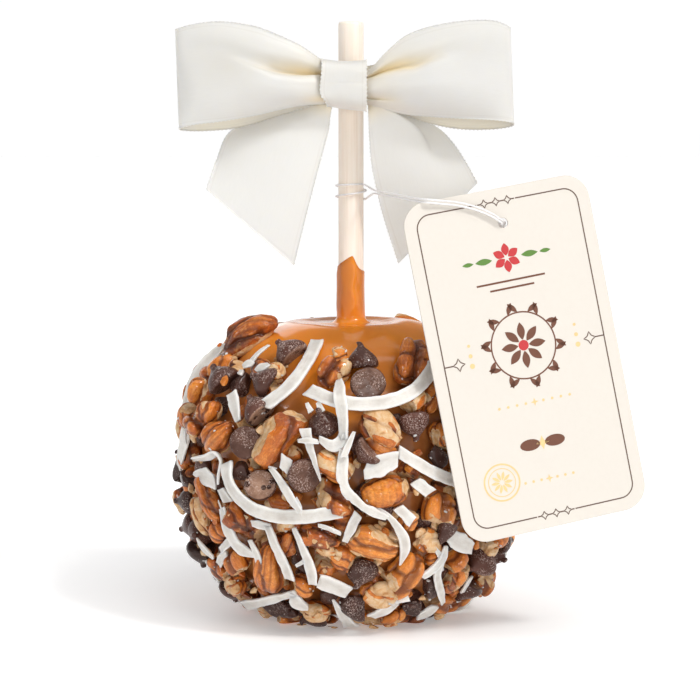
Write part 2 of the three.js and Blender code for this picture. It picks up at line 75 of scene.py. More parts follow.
_table = np.random.RandomState(41).uniform(-1, 1, 8192)


def vnoise(p):
    """Smooth value noise in -1..1 at points p (n, 3)."""
    p = np.asarray(p, float)
    i = np.floor(p).astype(np.int64)
    f = p - i
    u = f * f * f * (f * (f * 6 - 15) + 10)

    def h(dx, dy, dz):
        n = ((i[:, 0] + dx) * 73856093) ^ ((i[:, 1] + dy) * 19349663) ^ ((i[:, 2] + dz) * 83492791)
        return _table[n & 8191]

    x, y, z = u.T
    a = mixn(mixn(h(0, 0, 0), h(1, 0, 0), x), mixn(h(0, 1, 0), h(1, 1, 0), x), y)
    b = mixn(mixn(h(0, 0, 1), h(1, 0, 1), x), mixn(h(0, 1, 1), h(1, 1, 1), x), y)
    return mixn(a, b, z)


def fbm(p, octaves=3, gain=0.5):
    out, amp, total = 0.0, 1.0, 0.0
    for k in range(octaves):
        out = out + amp * vnoise(np.asarray(p) * (2.03 ** k) + 17.3 * k)
        total += amp
        amp *= gain
    return out / total


def skin(lat):
    f = np.radians(lat)
    c, s = np.abs(np.cos(f)), np.sin(f)
    b = np.where(s >= 0, RISE, DROP)
    p = np.where(s >= 0, CROWN_P, BASE_P)
    rho = ((c / APPLE_R) ** p + (np.abs(s) / b) ** p) ** (-1 / p)
    return rho * c, WIDEST_Z + rho * s


def skin_normal(lat):
    lat = np.asarray(lat, float)
    r0, z0 = skin(lat - 0.05)
    r1, z1 = skin(lat + 0.05)
    l = np.hypot(r1 - r0, z1 - z0)
    return (z1 - z0) / l, -(r1 - r0) / l


def place(az, lat, h=0.0):
    """A point h over the caramel, and the directions out, right and up there. az and lat in degrees."""
    r, z = skin(lat)
    nr, nz = skin_normal(lat)
    a = np.radians(az)
    sa, ca = np.sin(a), np.cos(a)
    rr = r + nr * h
    p = np.stack([rr * sa, -rr * ca, z + nz * h], -1)
    out = np.stack([nr * sa, -nr * ca, nz + 0 * sa], -1)
    right = np.stack([ca, sa, 0 * sa], -1)
    return p, out, right, np.cross(out, right)


def rim_lat(az):
    d = (np.asarray(az, float) + 180) % 360 - 180
    return (RIM_LAT - RIM_DIP * np.exp(-((d / RIM_DIP_HALF) ** 2)) + 2.5 * np.sin(np.radians(3 * d + 40))
            + 1.5 * np.sin(np.radians(7 * d)))


def catmull(P, n):
    """n samples of a Catmull-Rom curve through the rows of P (m, ...), evenly in parameter."""
    P = np.asarray(P, float)
    m = len(P)
    t = np.linspace(0, m - 1, n)
    i = np.minimum(t.astype(int), m - 2)
    f = (t - i).reshape((-1,) + (1,) * (P.ndim - 1))
    a = np.where((i > 0).reshape(f.shape), P[np.maximum(i - 1, 0)], 2 * P[0] - P[1])
    b, c = P[i], P[i + 1]
    d = np.where((i + 2 < m).reshape(f.shape), P[np.minimum(i + 2, m - 1)], 2 * P[-1] - P[-2])
    return 0.5 * (2 * b + (c - a) * f + (2 * a - 5 * b + 4 * c - d) * f ** 2 + (3 * b - a - 3 * c + d) * f ** 3)


# ------------------------------------------------------------------ meshes
def mesh_object(name, V, faces, attrs=None, smooth_shade=True, mat=None, slot=None):
    me = bpy.data.meshes.new(name)
    V = np.asarray(V, np.float64) * 0.001
    me.vertices.add(len(V))
    me.vertices.foreach_set("co", V.astype(np.float32).ravel())
    faces = [np.asarray(f, np.int32) for f in faces if len(f)]
    loops = np.concatenate([f.ravel() for f in faces])
    totals = np.concatenate([np.full(len(f), f.shape[1], np.int32) for f in faces])
    starts = np.concatenate([[0], np.cumsum(totals)[:-1]]).astype(np.int32)
    me.loops.add(len(loops))
    me.loops.foreach_set("vertex_index", loops.astype(np.int32))
    me.polygons.add(len(totals))
    me.polygons.foreach_set("loop_start", starts)
    me.polygons.foreach_set("use_smooth", np.full(len(totals), bool(smooth_shade)))
    me.update(calc_edges=True)
    me.validate()
    for k, a in (attrs or {}).items():
        a = np.asarray(a, np.float32)
        if a.ndim == 1:
            me.attributes.new(k, "FLOAT", "POINT").data.foreach_set("value", a)
        else:
            me.attributes.new(k, "FLOAT_VECTOR", "POINT").data.foreach_set("vector", a.ravel())
    ob = bpy.data.objects.new(name, me)
    bpy.context.scene.collection.objects.link(ob)
    if mat:
        me.materials.append(mat)
    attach(ob, "root")
    return ob


class Batch:
    """Many small pieces joined into one mesh."""

    def __init__(self):
        self.V, self.F, self.A, self.n, self.tris = [], {3: [], 4: []}, {}, 0, 0

    def add(self, V, faces, **attrs):
        for f in faces:
            f = np.asarray(f)
            self.F[f.shape[1]].append(f + self.n)
            self.tris += len(f) * (f.shape[1] - 2)
        for k, a in attrs.items():
            a = np.asarray(a, float)
            if a.ndim == 0:
                a = np.full(len(V), float(a))
            self.A.setdefault(k, []).append(a)
        self.V.append(V)
        self.n += len(V)

    def build(self, name, **kw):
        F = [np.concatenate(f) for f in self.F.values() if f]
        return mesh_object(name, np.concatenate(self.V), F, {k: np.concatenate(a) for k, a in self.A.items()}, **kw)


def grid_faces(nu, nv, wrap_u=False, wrap_v=False, flip=False):
    """Quads of a grid of nu by nv points, rows along u."""
    iu = np.arange(nu if wrap_u else nu - 1)
    iv = np.arange(nv if wrap_v else nv - 1)
    a, b = np.meshgrid(iu, iv, indexing="ij")
    a, b = a.ravel(), b.ravel()
    a1, b1 = (a + 1) % nu, (b + 1) % nv
    q = np.stack([a * nv + b, a1 * nv + b, a1 * nv + b1, a * nv + b1], 1)
    return q[:, ::-1] if flip else q


def sheet_mesh(P, thick):
    """A thin closed slab along a grid of points P (nu, nv, 3): vertices and quads."""
    nu, nv = P.shape[:2]
    du = np.gradient(P, axis=0)
    dv = np.gradient(P, axis=1)
    n = np.cross(du, dv)
    n /= np.linalg.norm(n, axis=2, keepdims=True) + 1e-12
    top = (P + n * thick / 2).reshape(-1, 3)
    bot = (P - n * thick / 2).reshape(-1, 3)
    k = nu * nv
    f = grid_faces(nu, nv)
    F = [f, f[:, ::-1] + k]
    idx = np.arange(k).reshape(nu, nv)
    ring = np.concatenate([idx[:, 0], idx[-1, 1:], idx[-2::-1, -1], idx[0, -2:0:-1]])
    nxt = np.roll(ring, -1)
    F.append(np.stack([ring, ring + k, nxt + k, nxt], 1)[:, ::-1])
    return np.concatenate([top, bot]), np.concatenate(F)


# ------------------------------------------------------------------ materials
class Mat:
    def __init__(self, name):
        self.m = bpy.data.materials.new(name)
        self.m.use_nodes = True
        self.t = self.m.node_tree
        self.t.nodes.clear()
        self.out = self.t.nodes.new("ShaderNodeOutputMaterial")
        self.coord = None

    def node(self, kind, **kw):
        n = self.t.nodes.new(kind)
        for k, v in kw.items():
            setattr(n, k, v)
        return n

    def link(self, a, b):
        if hasattr(a, "is_output"):
            self.t.links.new(a, b)
        else:
            b.default_value = a

    def obj(self):
        if self.coord is None:
            self.coord = self.node("ShaderNodeTexCoord").outputs["Object"]
        return self.coord

    def attr(self, name, vector=False):
        n = self.node("ShaderNodeAttribute", attribute_name=name)
        return n.outputs["Vector" if vector else "Fac"]

    def stretch(self, vec, scale):
        n = self.node("ShaderNodeMapping")
        self.link(vec, n.inputs["Vector"])
        n.inputs["Scale"].default_value = scale
        return n.outputs[0]

    def noise(self, scale, detail=3.0, rough=0.55, vec=None, distortion=0.0):
        n = self.node("ShaderNodeTexNoise")
        self.link(vec if vec is not None else self.obj(), n.inputs["Vector"])
        n.inputs["Scale"].default_value = scale
        n.inputs["Detail"].default_value = detail
        n.inputs["Roughness"].default_value = rough
        n.inputs["Distortion"].default_value = distortion
        return n.outputs["Fac"]

    def voronoi(self, scale, vec=None, feature="F1", rand=1.0):
        n = self.node("ShaderNodeTexVoronoi", feature=feature)
        self.link(vec if vec is not None else self.obj(), n.inputs["Vector"])
        n.inputs["Scale"].default_value = scale
        n.inputs["Randomness"].default_value = rand
        return n.outputs["Distance"]

    def ramp(self, fac, stops, interpolation="LINEAR"):
        n = self.node("ShaderNodeValToRGB")
        n.color_ramp.interpolation = interpolation
        e = n.color_ramp.elements
        while len(e) < len(stops):
            e.new(0.5)
        for el, (p, c) in zip(e, stops):
            el.position = p
            el.color = (c, c, c, 1) if np.isscalar(c) else (*c, 1)
        self.link(fac, n.inputs["Fac"])
        return n.outputs["Color"]

    def math(self, op, a, b=0.0, c=0.0, clamp=False):
        n = self.node("ShaderNodeMath", operation=op, use_clamp=clamp)
        for i, x in enumerate((a, b, c)):
            self.link(x, n.inputs[i])
        return n.outputs[0]

    def mix(self, fac, a, b, blend="MIX"):
        n = self.node("ShaderNodeMix", data_type="RGBA", blend_type=blend)
        self.link(fac, n.inputs["Factor"])
        for x, s in ((a, n.inputs[6]), (b, n.inputs[7])):
            self.link(x if hasattr(x, "is_output") else (*x, 1), s)
        return n.outputs[2]

    def bump(self, height, strength, dist_mm, normal=None):
        n = self.node("ShaderNodeBump")
        n.inputs["Strength"].default_value = strength
        n.inputs["Distance"].default_value = dist_mm * 0.001
        self.link(height, n.inputs["Height"])
        if normal is not None:
            self.link(normal, n.inputs["Normal"])
        return n.outputs[0]

    def principled(self, **kw):
        n = self.node("ShaderNodeBsdfPrincipled")
        for k, v in kw.items():
            s = n.inputs[k.replace("_", " ")]
            if isinstance(v, tuple) and len(v) == 3 and s.type == "RGBA":
                v = (*v, 1)
            self.link(v, s)
        self.link(n.outputs[0], self.out.inputs["Surface"])
        return n


def caramel_material():
    m = Mat("caramel")
    big = m.noise(38, 2, 0.5)
    fine = m.noise(190, 3, 0.5)
    gap_shade = m.attr("gap_shade")
    col = m.ramp(big, [(0.30, (0.66, 0.200, 0.020)), (0.70, (0.80, 0.270, 0.028))])
    # painted shade: darker, browner caramel under and between the toppings
    col = m.mix(m.math("MULTIPLY", gap_shade, 0.85), col, m.ramp(fine, [(0.35, (0.20, 0.062, 0.020)), (0.65, (0.38, 0.140, 0.048))]))
    # painted shade: the thick attribute darkens the collar's sides between unshaded bands, and its top edge
    col = m.mix(m.math("MULTIPLY", m.attr("thick"), 0.75), col, (0.40, 0.115, 0.014))
    h = m.math("ADD", m.math("MULTIPLY", big, 0.85), m.math("MULTIPLY", fine, 0.15))
    m.principled(Base_Color=col, Roughness=0.15, IOR=1.42, Specular_IOR_Level=0.35, Normal=m.bump(h, 0.25, 0.6),
                 Subsurface_Weight=0.16, Subsurface_Radius=(1.0, 0.36, 0.08), Subsurface_Scale=0.0025,
                 Coat_Weight=0.24, Coat_Roughness=0.05)
    return m.m


def pecan_material():
    m = Mat("pecan")
    loc = m.attr("loc", True)
    tone, skin_, furrow, rnd = m.attr("tone"), m.attr("skin"), m.attr("furrow"), m.attr("rnd")
    streak = m.noise(0.75, 4, 0.62, m.stretch(loc, (0.45, 2.2, 2.2)), 0.5)
    blotch = m.noise(0.33, 3, 0.6, loc)
    speck = m.noise(3.2, 2, 0.6, loc)
    wrinkle = m.math("ABSOLUTE", m.math("MULTIPLY_ADD", m.noise(0.80, 3, 0.6, m.stretch(loc, (0.5, 1.7, 1.7)), 0.7), 2.0, -1.0))
    line = m.ramp(wrinkle, [(0.0, 1.0), (0.14, 0.0)])
    # skin: golden orange to dark red brown, by piece and lobe, faintly streaked lengthwise; darker in the furrows,
    # partly the skin's own colour and partly painted shade, and the lobe tone carries a painted shade towards each
    # lobe's edges
    light = m.ramp(tone, [(0.0, (0.87, 0.320, 0.046)), (0.35, (0.76, 0.220, 0.026)), (0.70, (0.54, 0.122, 0.016)), (1.0, (0.250, 0.055, 0.012))])
    dark = m.ramp(tone, [(0.0, (0.50, 0.130, 0.016)), (0.4, (0.32, 0.068, 0.010)), (1.0, (0.070, 0.016, 0.007))])
    s = m.math("MULTIPLY_ADD", streak, 1.5, -0.25, clamp=True)
    s = m.math("ADD", m.math("MULTIPLY", s, 0.60), m.math("MULTIPLY", m.ramp(blotch, [(0.36, 0.0), (0.62, 0.8)]), 0.60), clamp=True)
    mottle = m.ramp(m.noise(1.5, 3, 0.65, loc, 0.4), [(0.36, 1.0), (0.50, 0.0)])
    shell = m.mix(s, dark, light)
    shell = m.mix(m.math("MULTIPLY", mottle, 0.38), shell, dark)
    thin = m.ramp(m.noise(0.62, 3, 0.6, loc, 0.6), [(0.50, 0.0), (0.66, 1.0)])
    shell = m.mix(m.math("MULTIPLY", thin, 0.55), shell, m.mix(0.5, light, (0.86, 0.46, 0.135)))
    shell = m.mix(m.math("MULTIPLY", line, 0.45), shell, dark)
    # painted shade: near-black along the furrows and creases, partly the skin's own darker colour
    deep = m.ramp(furrow, [(0.10, 0.0), (0.65, 1.0)])
    shell = m.mix(m.math("MULTIPLY", deep, 0.80), shell, m.mix(0.65, dark, (0.035, 0.009, 0.005)))
    # flesh: cream, with tan veins, and browner in the hollows as a painted shade
    vein = m.noise(0.55, 4, 0.6, loc, 0.8)
    flesh = m.ramp(vein, [(0.25, (0.40, 0.150, 0.040)), (0.43, (0.64, 0.375, 0.170)), (0.64, (0.71, 0.525, 0.335))])
    flesh = m.mix(m.ramp(speck, [(0.62, 0.0), (0.74, 0.40)]), flesh, (0.36, 0.15, 0.05))
    flesh = m.mix(m.math("MULTIPLY", deep, 0.45), flesh, (0.42, 0.16, 0.05))
    edge = m.math("ADD", skin_, m.math("MULTIPLY_ADD", m.noise(1.1, 4, 0.65, loc), 0.8, -0.4))
    rim = m.ramp(edge, [(0.42, 0.0), (0.50, 1.0), (0.54, 1.0), (0.64, 0.0)])
    col = m.mix(m.ramp(edge, [(0.44, 0.0), (0.52, 1.0)]), flesh, shell)
    col = m.mix(m.math("MULTIPLY", rim, 0.40), col, (0.22, 0.050, 0.012))
    h = m.math("ADD", m.math("MULTIPLY", streak, 0.6), m.math("MULTIPLY", speck, 0.22))
    h = m.math("ADD", h, m.math("MULTIPLY", vein, 0.5))
    h = m.math("SUBTRACT", h, m.math("MULTIPLY", line, 0.22))
    rough = m.ramp(edge, [(0.4, 0.55), (0.6, 0.40)])
    coat = m.ramp(edge, [(0.4, 0.25), (0.6, 0.62)])
    m.principled(Base_Color=col, Roughness=rough, IOR=1.45, Specular_IOR_Level=0.16, Normal=m.bump(h, 0.75, 0.32),
                 Subsurface_Weight=0.08, Subsurface_Radius=(1.0, 0.45, 0.18), Subsurface_Scale=0.0012,
                 Coat_Weight=coat, Coat_Roughness=0.06)
    return m.m


def chocolate_material():
    m = Mat("chocolate")
    loc = m.attr("loc", True)
    tone, bloom, disc = m.attr("tone"), m.attr("bloom"), m.attr("disc")
    body = m.ramp(tone, [(0.0, (0.026, 0.009, 0.006)), (1.0, (0.074, 0.027, 0.018))])
    cloud = m.noise(0.28, 3, 0.6, loc)
    fine = m.noise(1.5, 4, 0.7, loc)
    # cocoa fat bloom: mauve-grey clouds, tan on a drop's flat base, with round dark pits left in it
    b = m.math("MULTIPLY", bloom, m.ramp(cloud, [(0.34, 0.10), (0.60, 1.0)]), clamp=True)
    base = m.mix(m.math("MULTIPLY", b, 0.36), body, (0.24, 0.115, 0.090))
    tan = m.math("MULTIPLY", disc, m.ramp(bloom, [(0.6, 0.0), (0.95, 1.0)]))
    base = m.mix(m.math("MULTIPLY", tan, 0.75), base, m.ramp(cloud, [(0.35, (0.27, 0.150, 0.100)), (0.65, (0.46, 0.285, 0.195))]))
    pits = m.ramp(m.voronoi(0.46, loc), [(0.33, 1.0), (0.39, 0.0)])
    base = m.mix(m.math("MULTIPLY", m.math("MULTIPLY", pits, tan), 0.92), base, (0.030, 0.010, 0.007))
    # pale speckle of dust and scuffs in patches
    scuff = m.noise(2.5, 4, 0.75, loc, 0.5)
    where = m.math("MULTIPLY", m.ramp(m.noise(0.26, 2, 0.5, loc), [(0.42, 0.0), (0.58, 1.0)]), m.math("MULTIPLY_ADD", bloom, 0.88, 0.12))
    dust = m.math("MULTIPLY", m.ramp(scuff, [(0.535, 0.0), (0.575, 1.0)]), where)
    base = m.mix(m.math("MULTIPLY", dust, 0.88), base, (0.68, 0.51, 0.45))
    crumb = m.ramp(m.voronoi(0.75, m.stretch(loc, (1.0, 1.1, 1.2))), [(0.07, 1.0), (0.11, 0.0)])
    base = m.mix(m.math("MULTIPLY", crumb, 0.85), base, (0.80, 0.70, 0.62))
    rough = m.ramp(cloud, [(0.3, 0.26), (0.7, 0.42)])
    h = m.math("ADD", m.math("MULTIPLY", cloud, 0.5), m.math("MULTIPLY", fine, 0.60))
    h = m.math("SUBTRACT", h, m.math("MULTIPLY", m.math("MULTIPLY", pits, tan), 0.5))
    h = m.math("ADD", h, m.math("ADD", m.math("MULTIPLY", dust, 0.25), m.math("MULTIPLY", crumb, 0.5)))
    m.principled(Base_Color=base, Roughness=rough, IOR=1.47, Specular_IOR_Level=0.12, Normal=m.bump(h, 0.75, 0.26),
                 Coat_Weight=m.ramp(bloom, [(0.3, 0.42), (0.75, 0.10)]), Coat_Roughness=0.10)
    return m.m


def coconut_material():
    m = Mat("coconut")
    loc, side = m.attr("loc", True), m.attr("side")
    fibre = m.noise(1.5, 4, 0.65, m.stretch(loc, (0.30, 3.2, 3.2)))
    cloud = m.noise(0.35, 3, 0.5, loc)
    grain = m.noise(2.6, 3, 0.6, loc)
    col = m.ramp(cloud, [(0.3, (0.575, 0.540, 0.495)), (0.5, (0.660, 0.635, 0.590)), (0.70, (0.735, 0.715, 0.675))])
    col = m.mix(m.math("MULTIPLY", m.ramp(fibre, [(0.30, 1.0), (0.50, 0.0)]), 0.30), col, (0.50, 0.45, 0.41))
    col = m.mix(m.math("MULTIPLY", m.ramp(grain, [(0.3, 1.0), (0.48, 0.0)]), 0.22), col, (0.52, 0.45, 0.38))
    # painted highlight: the cut edges of each strip are lighter, where they catch the light
    col = m.mix(m.math("MULTIPLY", side, 0.80), col, (0.80, 0.79, 0.76))
    h = m.math("ADD", m.math("MULTIPLY", fibre, 0.7), m.math("MULTIPLY", grain, 0.4))
    m.principled(Base_Color=col, Roughness=0.36, IOR=1.42, Normal=m.bump(h, 0.55, 0.20),
                 Subsurface_Weight=0.55, Subsurface_Radius=(1.0, 0.90, 0.76), Subsurface_Scale=0.0018, Coat_Weight=0.12, Coat_Roughness=0.25)
    return m.m


def satin_material():
    m = Mat("satin_ribbon")
    loc = m.attr("loc", True)          # across the ribbon in x, along it in y, both in millimetres
    tint_and_fold_shade = m.attr("tint_and_fold_shade")
    weave = m.node("ShaderNodeTexWave", wave_type="BANDS", bands_direction="X")
    m.link(m.stretch(loc, (1, 1, 0)), weave.inputs["Vector"])
    weave.inputs["Scale"].default_value = 1.6
    weave.inputs["Distortion"].default_value = 0.4
    thread = m.noise(2.2, 3, 0.6, m.stretch(loc, (3.2, 0.12, 1)))
    col = m.mix(m.math("MULTIPLY", m.ramp(thread, [(0.3, 0.0), (0.7, 1.0)]), 0.5), (0.658, 0.652, 0.624), (0.702, 0.697, 0.668))
    col = m.mix(m.attr("dusk"), col, (0.545, 0.530, 0.490))
    # painted shade: warm yellowish cream in the pleats, near the knot, on the loops' inner layer and at the tails' tops
    col = m.mix(tint_and_fold_shade, col, (0.86, 0.68, 0.40))
    # the woven edge: a fine line just inside each side
    across = m.node("ShaderNodeSeparateXYZ")
    m.link(loc, across.inputs[0])
    side = m.math("SUBTRACT", 12.7, m.math("ABSOLUTE", m.math("SUBTRACT", across.outputs["X"], 12.7)))
    seam = m.ramp(m.math("ABSOLUTE", m.math("SUBTRACT", side, 1.0)), [(0.0, 1.0), (0.22, 0.0)])
    col = m.mix(m.math("MULTIPLY", seam, 0.22), col, (0.52, 0.48, 0.42))
    h = m.math("ADD", m.math("MULTIPLY", weave.outputs["Fac"], 0.25), m.math("MULTIPLY", thread, 0.5))
    h = m.math("SUBTRACT", h, m.math("MULTIPLY", seam, 0.8))
    m.principled(Base_Color=col, Roughness=0.42, IOR=1.45, Anisotropic=0.5, Normal=m.bump(h, 0.10, 0.08),
                 Sheen_Weight=0.25, Sheen_Roughness=0.35,
                 Subsurface_Weight=0.45, Subsurface_Radius=(1.0, 0.88, 0.64), Subsurface_Scale=0.0022)
    return m.m


def picot_material():
    m = Mat("ribbon_edge")
    m.principled(Base_Color=m.ramp(m.noise(900, 2), [(0.3, (0.74, 0.73, 0.69)), (0.7, (0.80, 0.79, 0.76))]), Roughness=0.6, Sheen_Weight=0.2)
    return m.m


def wood_material():
    m = Mat("stick_wood")
    o = m.obj()
    grain = m.noise(520, 5, 0.65, m.stretch(o, (1.0, 1.0, 0.035)), 0.3)
    broad = m.noise(150, 3, 0.5, m.stretch(o, (1.0, 1.0, 0.05)))
    pores = m.noise(1500, 2, 0.5, m.stretch(o, (1.0, 1.0, 0.02)))
    col = m.ramp(grain, [(0.28, (0.88, 0.755, 0.63)), (0.5, (0.95, 0.850, 0.745)), (0.72, (0.975, 0.895, 0.81))])
    col = m.mix(m.math("MULTIPLY", m.ramp(broad, [(0.4, 0.0), (0.65, 1.0)]), 0.30), col, (0.92, 0.81, 0.71))
    col = m.mix(m.math("MULTIPLY", m.ramp(pores, [(0.62, 0.0), (0.7, 1.0)]), 0.22), col, (0.66, 0.49, 0.35))
    m.principled(Base_Color=col, Roughness=0.55, IOR=1.45, Normal=m.bump(grain, 0.25, 0.12),
                 Subsurface_Weight=0.08, Subsurface_Radius=(1.0, 0.6, 0.35), Subsurface_Scale=0.001)
    return m.m


def card_material():
    m = Mat("tag_card")
    o = m.obj()
    fibre = m.noise(900, 4, 0.7)
    col = m.ramp(fibre, [(0.3, (0.680, 0.636, 0.574)), (0.7, (0.695, 0.650, 0.590))])
    m.principled(Base_Color=col, Roughness=0.72, IOR=1.45, Normal=m.bump(fibre, 0.15, 0.05))
    return m.m


def ink_material(name, rgb):
    m = Mat(name)
    n = m.noise(2500, 2, 0.6)
    lo = tuple(c * 0.92 for c in rgb)
    m.principled(Base_Color=m.mix(m.ramp(n, [(0.35, 0.0), (0.65, 1.0)]), lo, rgb), Roughness=0.6)
    return m.m


def thread_material():
    m = Mat("thread")
    o = m.obj()
    n = m.noise(2600, 2, 0.5)
    m.principled(Base_Color=m.ramp(n, [(0.3, (0.72, 0.70, 0.70)), (0.7, (0.84, 0.83, 0.83))]), Roughness=0.5, Normal=m.bump(n, 0.3, 0.05), Sheen_Weight=0.2)
    return m.m


def floor_material():
    m = Mat("studio_floor")
    n = m.noise(6, 2, 0.5)
    m.principled(Base_Color=m.ramp(n, [(0.0, 0.90), (1.0, 0.92)]), Roughness=0.5, Emission_Color=(1.0, 1.0, 1.0), Emission_Strength=0.26)
    return m.m


# ------------------------------------------------------------------ camera and light
scene = bpy.context.scene
scene.view_settings.view_transform = "Standard"
scene.view_settings.look = "None"

cam = bpy.data.cameras.new("camera")
cam.lens, cam.sensor_width = 103.9, 36.0
cam.clip_start, cam.clip_end = 0.05, 20.0
cam_ob = bpy.data.objects.new("camera", cam)
scene.collection.objects.link(cam_ob)
cam_ob.location = (-0.00025, -0.510, 0.118)
cam_ob.rotation_euler = (rad(90 - 5.8), 0, 0)
scene.camera = cam_ob


def area(name, loc, at, size, power, colour=(1, 1, 1)):
    l = bpy.data.lights.new(name, "AREA")
    l.shape, l.size, l.size_y, l.energy, l.color = "RECTANGLE", size[0], size[1], power, colour
    ob = bpy.data.objects.new(name, l)
    scene.collection.objects.link(ob)
    ob.location = loc
    ob.rotation_euler = (Vector(at) - Vector(loc)).to_track_quat("-Z", "Y").to_euler()
    return ob


def sun(name, towards, power, angle, colour=(1, 1, 1)):
    l = bpy.data.lights.new(name, "SUN")
    l.energy, l.angle, l.color = power, rad(angle), colour
    ob = bpy.data.objects.new(name, l)
    scene.collection.objects.link(ob)
    ob.location = Vector(towards)
    ob.rotation_euler = Vector(towards).to_track_quat("Z", "Y").to_euler()
    return ob


sun("key", (0.60, -0.50, 0.80), 1.35, 9, (1.0, 0.985, 0.965))
sun("key_soft", (0.42, -0.50, 0.92), 1.15, 45, (1.0, 0.985, 0.965))
sun("overhead", (-0.20, -0.05, 1.0), 0.60, 60)
area("softbox_left", (-0.62, -0.50, 0.42), (0, 0, 0.07), (0.12, 0.18), 0.8, (0.97, 0.985, 1.0))
area("softbox_front", (0.28, -1.05, 0.14), (0, 0, 0.09), (0.22, 0.16), 1.5)
area("softbox_back", (-0.30, 0.72, 0.36), (0, 0, 0.08), (0.50, 0.42), 0.80)

# pale walls all round, darker overhead
world = bpy.data.worlds.new("studio")
world.use_nodes = True
wt = world.node_tree
w_dir = wt.nodes.new("ShaderNodeTexCoord")
w_sep = wt.nodes.new("ShaderNodeSeparateXYZ")
w_ramp = wt.nodes.new("ShaderNodeValToRGB")
wt.links.new(w_dir.outputs["Generated"], w_sep.inputs[0])
wt.links.new(w_sep.outputs["Z"], w_ramp.inputs["Fac"])
el = w_ramp.color_ramp.elements
el[0].position, el[0].color = 0.11, (1.0, 1.0, 1.0, 1)
el[1].position, el[1].color = 0.70, (0.10, 0.10, 0.105, 1)
mid = el.new(0.26)
mid.color = (0.26, 0.26, 0.265, 1)
wt.links.new(w_ramp.outputs["Color"], wt.nodes["Background"].inputs["Color"])
wt.nodes["Background"].inputs["Strength"].default_value = 1.02
scene.world = world

bm = bmesh.new()
bmesh.ops.create_circle(bm, cap_ends=True, segments=64, radius=30.0)
me = bpy.data.meshes.new("floor")
bm.to_mesh(me)
bm.free()
floor = bpy.data.objects.new("floor", me)
scene.collection.objects.link(floor)
floor.location = (0, 0, -0.0002)
me.materials.append(floor_material())

MAT = {
    "caramel": caramel_material(), "pecan": pecan_material(), "chocolate": chocolate_material(),
    "coconut": coconut_material(), "satin": satin_material(), "edge": picot_material(), "wood": wood_material(),
    "card": card_material(), "thread": thread_material(),
}

# ------------------------------------------------------------------ the tag's plane and the thread
a_, b_, g_ = rad(TAG_TURN), rad(TAG_LEAN), rad(TAG_ROLL)
TAG_OUT = np.array([math.sin(a_) * math.cos(b_), -math.cos(a_) * math.cos(b_), math.sin(b_)])
TAG_ACROSS = np.array([math.cos(a_), math.sin(a_), 0.0])
TAG_UP = np.cross(TAG_OUT, TAG_ACROSS)
TAG_FACE = TAG_REACH + WIDEST_Z * math.sin(b_)
TAG_MID = TAG_OUT * TAG_FACE + TAG_ACROSS * TAG_MIDDLE[0] + TAG_UP * TAG_MIDDLE[1]
TAG_X = TAG_ACROSS * math.cos(g_) + TAG_UP * math.sin(g_)
TAG_Y = TAG_UP * math.cos(g_) - TAG_ACROSS * math.sin(g_)


def on_card(x, y, d=0.0):
    return TAG_MID + TAG_X * x + TAG_Y * y + TAG_OUT * d


def thread_route():
    hx, hy = TAG_HOLE

    def strand(s):
        return [on_card(hx - 0.3 * s, hy - 0.3 * s, -TAG_T - 0.6), on_card(hx - 0.3 * s, hy - 0.3 * s, -TAG_T / 2),
                on_card(hx - 0.5, hy + 0.4 - 0.42 * s, 0.75), on_card(-1.9, 34.6 - 0.42 * s, 0.85),
                on_card(-5.0, 36.6 - 0.42 * s, 0.8), on_card(-9.5, 38.6 - 0.4 * s, 0.8),
                on_card(-13.4, 39.7 - 0.38 * s, 0.9), on_card(-16.9, 40.7 - 0.36 * s, 0.9),
                np.array([13.6, -31.5, 105.4 - 0.36 * s]), np.array([10.3, -21.0, 105.9 - 0.36 * s]),
                np.array([7.4, -12.0, 106.2 - 0.4 * s]), np.array([5.5, -6.0, THREAD_Z + 0.1 - 0.5 * s])]

    pts = strand(-1)
    r, turns, steps = STICK_R + GAP + THREAD_D / 2 + 0.05, 2, 13
    for i in range(turns * steps + 1):
        q = i / steps
        a = rad(52) - 2 * math.pi * q * 0.97
        pts.append(np.array([r * math.sin(a), -r * math.cos(a), THREAD_Z + THREAD_SPREAD / 2 * math.cos(math.pi * q / turns) * 1.05]))
    return pts + strand(1)[::-1]


def centripetal(pts, n):
    """Points along a centripetal Catmull-Rom curve, n to each span."""
    P = np.array(pts, float)
    P = np.vstack([2 * P[0] - P[1], P, 2 * P[-1] - P[-2]])
    out = []
    for i in range(1, len(P) - 2):
        p0, p1, p2, p3 = P[i - 1:i + 3]
        t0 = 0.0
        t1 = t0 + max(np.linalg.norm(p1 - p0), 1e-4) ** 0.5
        t2 = t1 + max(np.linalg.norm(p2 - p1), 1e-4) ** 0.5
        t3 = t2 + max(np.linalg.norm(p3 - p2), 1e-4) ** 0.5
        for t in np.linspace(t1, t2, n, endpoint=False):
            a1 = (t1 - t) / (t1 - t0) * p0 + (t - t0) / (t1 - t0) * p1
            a2 = (t2 - t) / (t2 - t1) * p1 + (t - t1) / (t2 - t1) * p2
            a3 = (t3 - t) / (t3 - t2) * p2 + (t - t2) / (t3 - t2) * p3
            b1 = (t2 - t) / (t2 - t0) * a1 + (t - t0) / (t2 - t0) * a2
            b2 = (t3 - t) / (t3 - t1) * a2 + (t - t1) / (t3 - t1) * a3
            out.append((t2 - t) / (t2 - t1) * b1 + (t - t1) / (t2 - t1) * b2)
    out.append(P[-2])
    return np.array(out)


